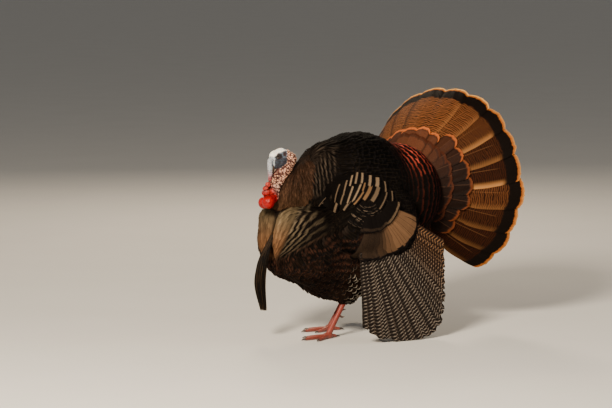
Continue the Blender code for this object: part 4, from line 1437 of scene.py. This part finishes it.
def with_ears(points, outwards):
    """Presses an ear's pit with a low ring round it into each side of the head."""
    ear = np.array(SKULL) + np.array(AHEAD) * -0.0125 + np.array(ABOVE) * -0.0020
    for side in (-1, 1):
        away = np.hypot((points - ear) @ np.array(AHEAD), (points - ear) @ np.array(ABOVE))
        beside = (points[:, 1] - SHIFT.y) * side > 0.008
        pit = smooth(0.0032, 0.0012, away) * beside
        ring = np.exp(-(((away - 0.0040) / 0.0011) ** 2)) * beside
        points = points - outwards * (pit * 0.0022 - ring * 0.0005)[:, None]
    return points


def select(*pieces):
    """Selects these objects alone, the first as the active one."""
    for other in list(bpy.context.selected_objects):
        other.select_set(False)
    for piece in pieces:
        piece.select_set(True)
    if pieces:
        bpy.context.view_layer.objects.active = pieces[0]


def unwrap(obj, low, high):
    """Unwraps a piece of the skin by its own shape into one box of the map."""
    select(obj)
    bpy.ops.object.mode_set(mode="EDIT")
    bpy.ops.mesh.select_all(action="SELECT")
    bpy.ops.uv.smart_project(angle_limit=math.radians(66), island_margin=0.001)
    bpy.ops.object.mode_set(mode="OBJECT")
    layer = obj.data.uv_layers.active
    layer.name = "OFBake"
    flat = np.empty(len(layer.data) * 2, dtype=np.float32)
    layer.data.foreach_get("uv", flat)
    places = flat.reshape(-1, 2)
    places = (places - places.min(axis=0)) / (places.max(axis=0) - places.min(axis=0))
    fill(layer.data, "uv", np.array(low) + places * (np.array(high) - np.array(low)))
    select()


def tint_points(mesh, tint, share):
    """The colours of the mesh's points, with share as their alpha."""
    share = np.broadcast_to(share, (len(tint),))
    layer = mesh.attributes.new("tint", "FLOAT_COLOR", "POINT")
    fill(layer.data, "color", np.column_stack((np.clip(tint, 0, 1), share)))


def join_skin(body, head, legs):
    """One skin of the whole animal: the body's, the bare head's and the legs'."""
    tint_points(body.data, body_tint(design(coordinates(body.data))), 0.0)
    unwrap(body, (0.003, 0.003), (0.497, 0.497))
    select(body, head, *legs)
    bpy.ops.object.join()
    body.name = "turkey_skin"
    select()


def build_head_skin():
    """Bare skin of the head, neck, wattle and snood with its caruncles, folds and lids, and its colours by
    place."""
    skin = remeshed(joined_copy("head_skin", HEAD_NODES), 0.0010, 7)
    unwrap(skin, (0.503, 0.003), (0.997, 0.997))
    points, outwards = surface(skin)
    a, b, c = head_frame(points)
    x, _, z = design(points).T
    wattle, flush = wattle_share(points)
    snug = lobe_crown(points)
    points, outwards = rounded_lobes(points, outwards, wattle * np.clip(snug * 1.5, 0, 1))
    snood, snood_at = snood_share(points)

    # Where the face's parts lie. u is ahead and w above the skull's middle, both level with the ground.
    on_head = smooth(0.060, 0.050, np.sqrt(a**2 + b**2 + c**2))
    u = x - SKULL_DESIGN.x - 0.0105 * (1 - np.clip(np.abs(b) / 0.018, 0, 1))
    w = z - SKULL_DESIGN.z
    ragged = 0.0014 * fractal(points, 0.008, 4.0)
    ahead = smooth(0.0240, 0.0190, u + ragged)
    above = smooth(-0.0030, 0.0020, w + 0.050 - 0.70 * (u + 0.026) + ragged)
    brow = np.interp(u, (-0.0300, -0.0274, -0.0122, 0.0145), (-0.0040, 0.0033, 0.0163, 0.0222))
    nape = (1 - ahead * above) * on_head
    bare = np.clip(1 - on_head + nape, 0, 1) * (1 - wattle) * (1 - snood)
    crown = on_head * (1 - nape) * (1 - snood)
    low = smooth(0.53, 0.45, z)

    # Caruncles, drawn out along the neck, larger lower down.
    warp = np.stack([fractal(points, 0.012, k) for k in (1.0, 6.0, 11.0)], axis=1) * 0.0014
    down_neck = unit(np.array((-0.45, 0.0, -0.89)))
    pressed = points + warp + down_neck * ((points + warp) @ down_neck)[:, None] * 0.7
    small, large = cells(pressed, 0.0078), cells(pressed, 0.0098, 5.0)
    bead = (1 - smooth(0.05, 0.80, small[0])) * (1 - low) + (1 - smooth(0.05, 0.80, large[0])) * low
    gap = smooth(0.0, 0.20, small[1] - small[0]) * (1 - low) + smooth(0.0, 0.18, large[1] - large[0]) * low
    soft, fine, coarse = fractal(points, 0.011), fractal(points, 0.0022, 3.0), fractal(points, 0.0040, 8.0)
    rings = np.sin(snood_at * 88 + 2.2 * soft)
    height = (
        bare * (0.0021 * bead + 0.0014 * gap - 0.0018 + 0.00030 * fine)
        + crown * (0.00045 * fine + 0.0003 * soft)
        + wattle * (0.0009 * soft + 0.00025 * coarse + 0.00010 * fine - 0.0016 * (1 - snug))
        + snood * (0.00045 * rings + 0.00045 * coarse + 0.0002 * fine)
    )
    points = with_ears(with_lids(points + outwards * height[:, None]), outwards)
    set_coordinates(skin.data, points)

    # The face: white above the brow, blue at the cheek, dark round the eye.
    mottle = np.clip(0.5 + fractal(points, 0.0045, 9.0), 0, 1)[:, None]
    bridge = smooth(-0.0225, -0.0265, u + 0.5 * ragged) * smooth(-0.030, -0.020, w)
    around = smooth(1.25, 0.75, np.hypot((u + 0.0115) / 0.0150, (w - 0.0062) / 0.0092) + 0.22 * soft)
    temple = smooth(1.2, 0.6, np.hypot((u - 0.0120) / 0.0075, (w - 0.0120) / 0.0085)) * 0.9
    face = blend(smooth(0.006, -0.004, w), (0.105, 0.135, 0.175), (0.026, 0.034, 0.048)) * (0.60 + 1.0 * mottle)
    face = blend(bridge, face, np.array((0.42, 0.46, 0.50)) * (0.8 + 0.3 * mottle))
    face = blend(around, face, (0.0080, 0.0080, 0.0100))
    face = blend(temple, face, (0.034, 0.012, 0.009))
    white = np.array((1.0, 0.96, 0.87)) * (0.92 + 0.10 * mottle)
    face = blend(smooth(-0.0014, 0.0014, w - brow + ragged), face, white)

    # The neck: pink beads, lighter on their tops as painted highlights and dark in the seams as painted shade,
    # paler low down and red next to the wattle.
    red, deep = np.array((0.300, 0.0012, 0.0014)), np.array((0.050, 0.0004, 0.0006))
    beaded = (0.45 + 0.85 * bead)[:, None]
    lower = smooth(0.52, 0.48, z) * 0.7
    crevice = np.clip(1 - gap * smooth(0.12, 0.58, bead + 0.12 * fine), 0, 1)
    crest = np.array((0.64, 0.350, 0.235)) * beaded * (1 + 0.30 * smooth(0.555, 0.580, z))[:, None]
    crest = blend(lower, crest, np.array((0.46, 0.35, 0.30)) * beaded)
    flesh = blend(crevice, crest, np.array((0.050, 0.013, 0.010)) * (1 - 0.9 * lower)[:, None])
    jaw = smooth(-0.0225, -0.0260, u) * smooth(-0.062, -0.052, w) * smooth(-0.016, -0.022, w)
    flesh = blend(jaw, flesh, np.array((0.150, 0.045, 0.032)) * (0.35 + 0.9 * bead)[:, None])
    flesh = blend(flush * 0.75, flesh, blend(crevice, red * (0.5 + 0.6 * bead)[:, None], deep))
    tint = blend(np.clip(nape * 1.2 + (1 - on_head), 0, 1), face, flesh)
    throat = on_head * smooth(-0.004, -0.014, c) * smooth(0.010, 0.022, a) * smooth(0.010, 0.006, np.abs(b))
    tint = blend(throat * 0.8, tint, (0.110, 0.034, 0.026))

    # The wattle, scarlet with dark seams between the lobes as painted shade, and the snood, grey-blue with a
    # red end.
    cloud = np.clip(soft + 0.5, 0, 1)
    pinker = smooth(0.468, 0.486, z) * (0.25 + 0.35 * cloud)
    scarlet = blend(pinker, red * (0.65 + 0.60 * cloud)[:, None], (0.52, 0.085, 0.060))
    tint = blend(wattle, tint, blend((1 - snug) * 0.80, scarlet, deep))
    snood_tint = blend(smooth(0.55, 0.98, snood_at), (0.46, 0.50, 0.56), (0.36, 0.060, 0.070))
    groove = (0.5 - 0.5 * rings)[:, None]
    tint = blend(snood, tint, snood_tint * (1 - 0.45 * groove**2) * (0.62 + 0.55 * mottle))
    tint_points(skin.data, tint, wattle)
    return dress(skin, MATERIALS["bare"])


def build_eye(name, side):
    """An eyeball with a brown iris, and a gaze attribute that grows from the pupil's middle."""
    bm = bmesh.new()
    bmesh.ops.create_uvsphere(bm, u_segments=40, v_segments=28, radius=EYE_RADIUS)
    mesh = bpy.data.meshes.new(name)
    bm.to_mesh(mesh)
    bm.free()
    ways = unit(coordinates(mesh))
    gaze = np.degrees(np.arccos(np.clip(ways[:, 2], -1, 1)))
    cornea = smooth(38, 10, gaze) * 0.0005
    turn = np.array(Vector((-0.10, side, -0.02)).to_track_quat("Z", "X").to_matrix())
    set_coordinates(mesh, (ways * (EYE_RADIUS * 0.985 + cornea)[:, None]) @ turn.T + eye_middle(side))
    fill(mesh.attributes.new("gaze", "FLOAT", "POINT").data, "value", gaze / 90)
    obj = dress(link(bpy.data.objects.new(f"{name}_ball", mesh)), MATERIALS["eye"])
    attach(obj, "root")
    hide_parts(name)


def refined(node, voxel, slot):
    """A smooth, finely meshed copy of one solid of horn, in its place."""
    piece = dress(remeshed(joined_copy(f"{node}_horn", [node]), voxel, 4), MATERIALS[slot])
    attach(piece, "root")
    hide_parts(node)


# ---------------------------------------------------------------- beard and bristles


def strand_mesh(name, centres, radii, sides, material):
    """Thin tapered strands. centres is (count, rows, 3), radii (rows,)."""
    count, rows, _ = centres.shape
    ahead = unit(np.gradient(centres, axis=1))
    across = unit(np.cross(ahead, np.array((0.31, 0.86, 0.4))))
    other = np.cross(ahead, across)
    turn = np.linspace(0, 2 * math.pi, sides, endpoint=False)
    ring = across[:, :, None] * np.cos(turn)[:, None] + other[:, :, None] * np.sin(turn)[:, None]
    points = centres[:, :, None] + ring * radii[None, :, None, None]
    grid = np.arange(rows * sides).reshape(rows, sides)
    after = np.roll(grid, -1, axis=1)
    quads = np.stack((grid[:-1], after[:-1], after[1:], grid[1:]), axis=-1)
    low, size = strip_unwrap(count)
    about, along = np.tile(np.arange(sides) / sides, rows), np.repeat(np.linspace(0, 1, rows), sides)
    flat = np.stack((about, along), axis=1)
    layers = {"OFBake": (low[:, None] + flat[None] * size[:, None]).reshape(-1, 2)}
    attributes = {"seed": np.repeat(RNG.random(count), rows * sides)}
    obj = new_piece(name, points, quads, count, layers, attributes, MATERIALS[material])
    return obj


# Down the beard: its middle ahead and up, and half its breadth and depth.
BEARD = (
    (-0.440, 0.338, 0.007, 0.006), (-0.464, 0.293, 0.011, 0.009), (-0.482, 0.246, 0.016, 0.012),
    (-0.490, 0.178, 0.019, 0.013), (-0.477, 0.096, 0.012, 0.007),
)


def eased(table, share):
    """A smooth curve through a table's rows, read at shares from 0 to 1."""
    table = np.asarray(table)
    last = len(table) - 1
    at = np.clip(share * last, 0, last - 1e-9)
    i = np.floor(at).astype(int)
    t = (at - i)[..., None]
    before, start, end, after = (table[np.clip(i + k, 0, last)] for k in (-1, 0, 1, 2))
    slope_a, slope_b = (end - before) / 2, (after - start) / 2
    return (
        start * (2 * t**3 - 3 * t**2 + 1) + slope_a * (t**3 - 2 * t**2 + t)
        + end * (-2 * t**3 + 3 * t**2) + slope_b * (t**3 - t**2)
    )


def build_beard():
    """420 bristles that hang from the breast."""
    count, rows = 420, 18
    length = 1 - 0.16 * RNG.random(count) ** 1.3
    share = np.linspace(0, 1, rows)[None] * length[:, None]
    x, z, half, depth = np.moveaxis(eased(BEARD, share), -1, 0)
    angle = RNG.uniform(0, 2 * math.pi, count)[:, None]
    out = np.sqrt(RNG.random(count))[:, None]
    angle = angle + RNG.normal(0, 0.12, (count, 1)) * share * 1.6
    wave = 0.10 * np.sin(share * 14 + RNG.uniform(0, 6, (count, 1)))
    beside = half * 1.15 * (out * np.sin(angle) + wave)
    ahead = depth * 1.30 * (out * np.cos(angle) + wave * 0.6)
    centres = np.stack((x + ahead, beside, z), axis=-1) + SHIFT_NP
    piece = strand_mesh("beard_bristles", centres, np.linspace(0.00085, 0.00040, rows), 4, "beard")
    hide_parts("beard")


# ---------------------------------------------------------------- legs

FOOT_PLACES = {"left": (-0.276, -0.072), "right": (-0.188, 0.068)}


def build_leg_skin(name):
    """The scaly shank and foot, with broad scutes down the front and on the toes, and round scales
    elsewhere."""
    skin = remeshed(joined_copy(f"leg_{name}_skin", [f"shank_{name}", f"foot_{name}"]), 0.0013, 5)
    left = 0.003 if name == "left" else 0.253
    unwrap(skin, (left, 0.503), (left + 0.244, 0.997))
    points, outwards = surface(skin)
    foot_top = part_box(f"foot_{name}")[1].z
    shank_low, shank_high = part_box(f"shank_{name}")
    on_shank = smooth(foot_top - 0.004, foot_top + 0.010, points[:, 2])
    front = smooth(-0.15, 0.35, -outwards[:, 0])
    upward = smooth(0.2, 0.6, outwards[:, 2])
    column = np.floor((points[:, 1] - (shank_low.y + shank_high.y) / 2) / 0.0045)
    step = ((points[:, 2] + points[:, 0] * 0.35) / 0.0062 + 0.5 * (column % 2)) % 1.0
    plate = smooth(0.0, 0.16, step) * smooth(1.0, 0.88, step)
    near, second = cells(points, 0.0032, 2.0)
    pebble = smooth(0.0, 0.22, second - near)
    ankle = np.array(FOOT_PLACES[name]) + np.array((SHIFT.x, SHIFT.y))
    toe_step = (np.hypot(points[:, 0] - ankle[0], points[:, 1] - ankle[1]) / 0.0048) % 1.0
    toe_plate = smooth(0.0, 0.2, toe_step) * smooth(1.0, 0.85, toe_step)

    def scales(broad, round_scale):
        """The height of the scutes and of the round scales, at these full heights."""
        shank = front * plate * broad + (1 - front) * pebble * round_scale
        foot = upward * toe_plate * broad + (1 - upward) * pebble * round_scale
        return on_shank * shank + (1 - on_shank) * foot

    points = points + outwards * (scales(0.0007, 0.0004) - 0.0003)[:, None]
    points[:, 2] = np.maximum(points[:, 2], 0.0)
    set_coordinates(skin.data, points)
    tint = blend((1 - on_shank) * 0.6, (0.27, 0.030, 0.018), (0.25, 0.052, 0.032))
    tint = blend((1 - scales(1, 1)) * 0.75, tint, (0.045, 0.009, 0.006))
    tint_points(skin.data, tint, 1.0)
    return dress(skin, MATERIALS["leg"])


# ---------------------------------------------------------------- build

add_camera()
add_studio()
SKIN = build_body_skin()
SKIN_TREE = tree_of(SKIN.data)
HEAD = build_head_skin()
build_eye("eye_left", -1)
build_eye("eye_right", 1)
refined("bill_upper", 0.0006, "bill")
refined("bill_lower", 0.0006, "bill")
build_beard()
LEGS = []
for which in WINGS:
    LEGS.append(build_leg_skin(which))
    refined(f"spur_{which}", 0.0008, "claw")
    for toe in ("inner", "middle", "outer", "hind"):
        refined(f"claw_{which}_{toe}", 0.0008, "claw")
build_tail()
for which in WINGS:
    build_remiges(which)
for which in WINGS:
    build_coverts(which, SKIN)
build_rump(SKIN_TREE)
build_ruff(SKIN, SKIN_TREE)
build_body(SKIN, SKIN_TREE)
join_skin(SKIN, HEAD, LEGS)
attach(SKIN, "root")
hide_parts(*SOFT, *HEAD_NODES, "shank_left", "foot_left", "shank_right", "foot_right")
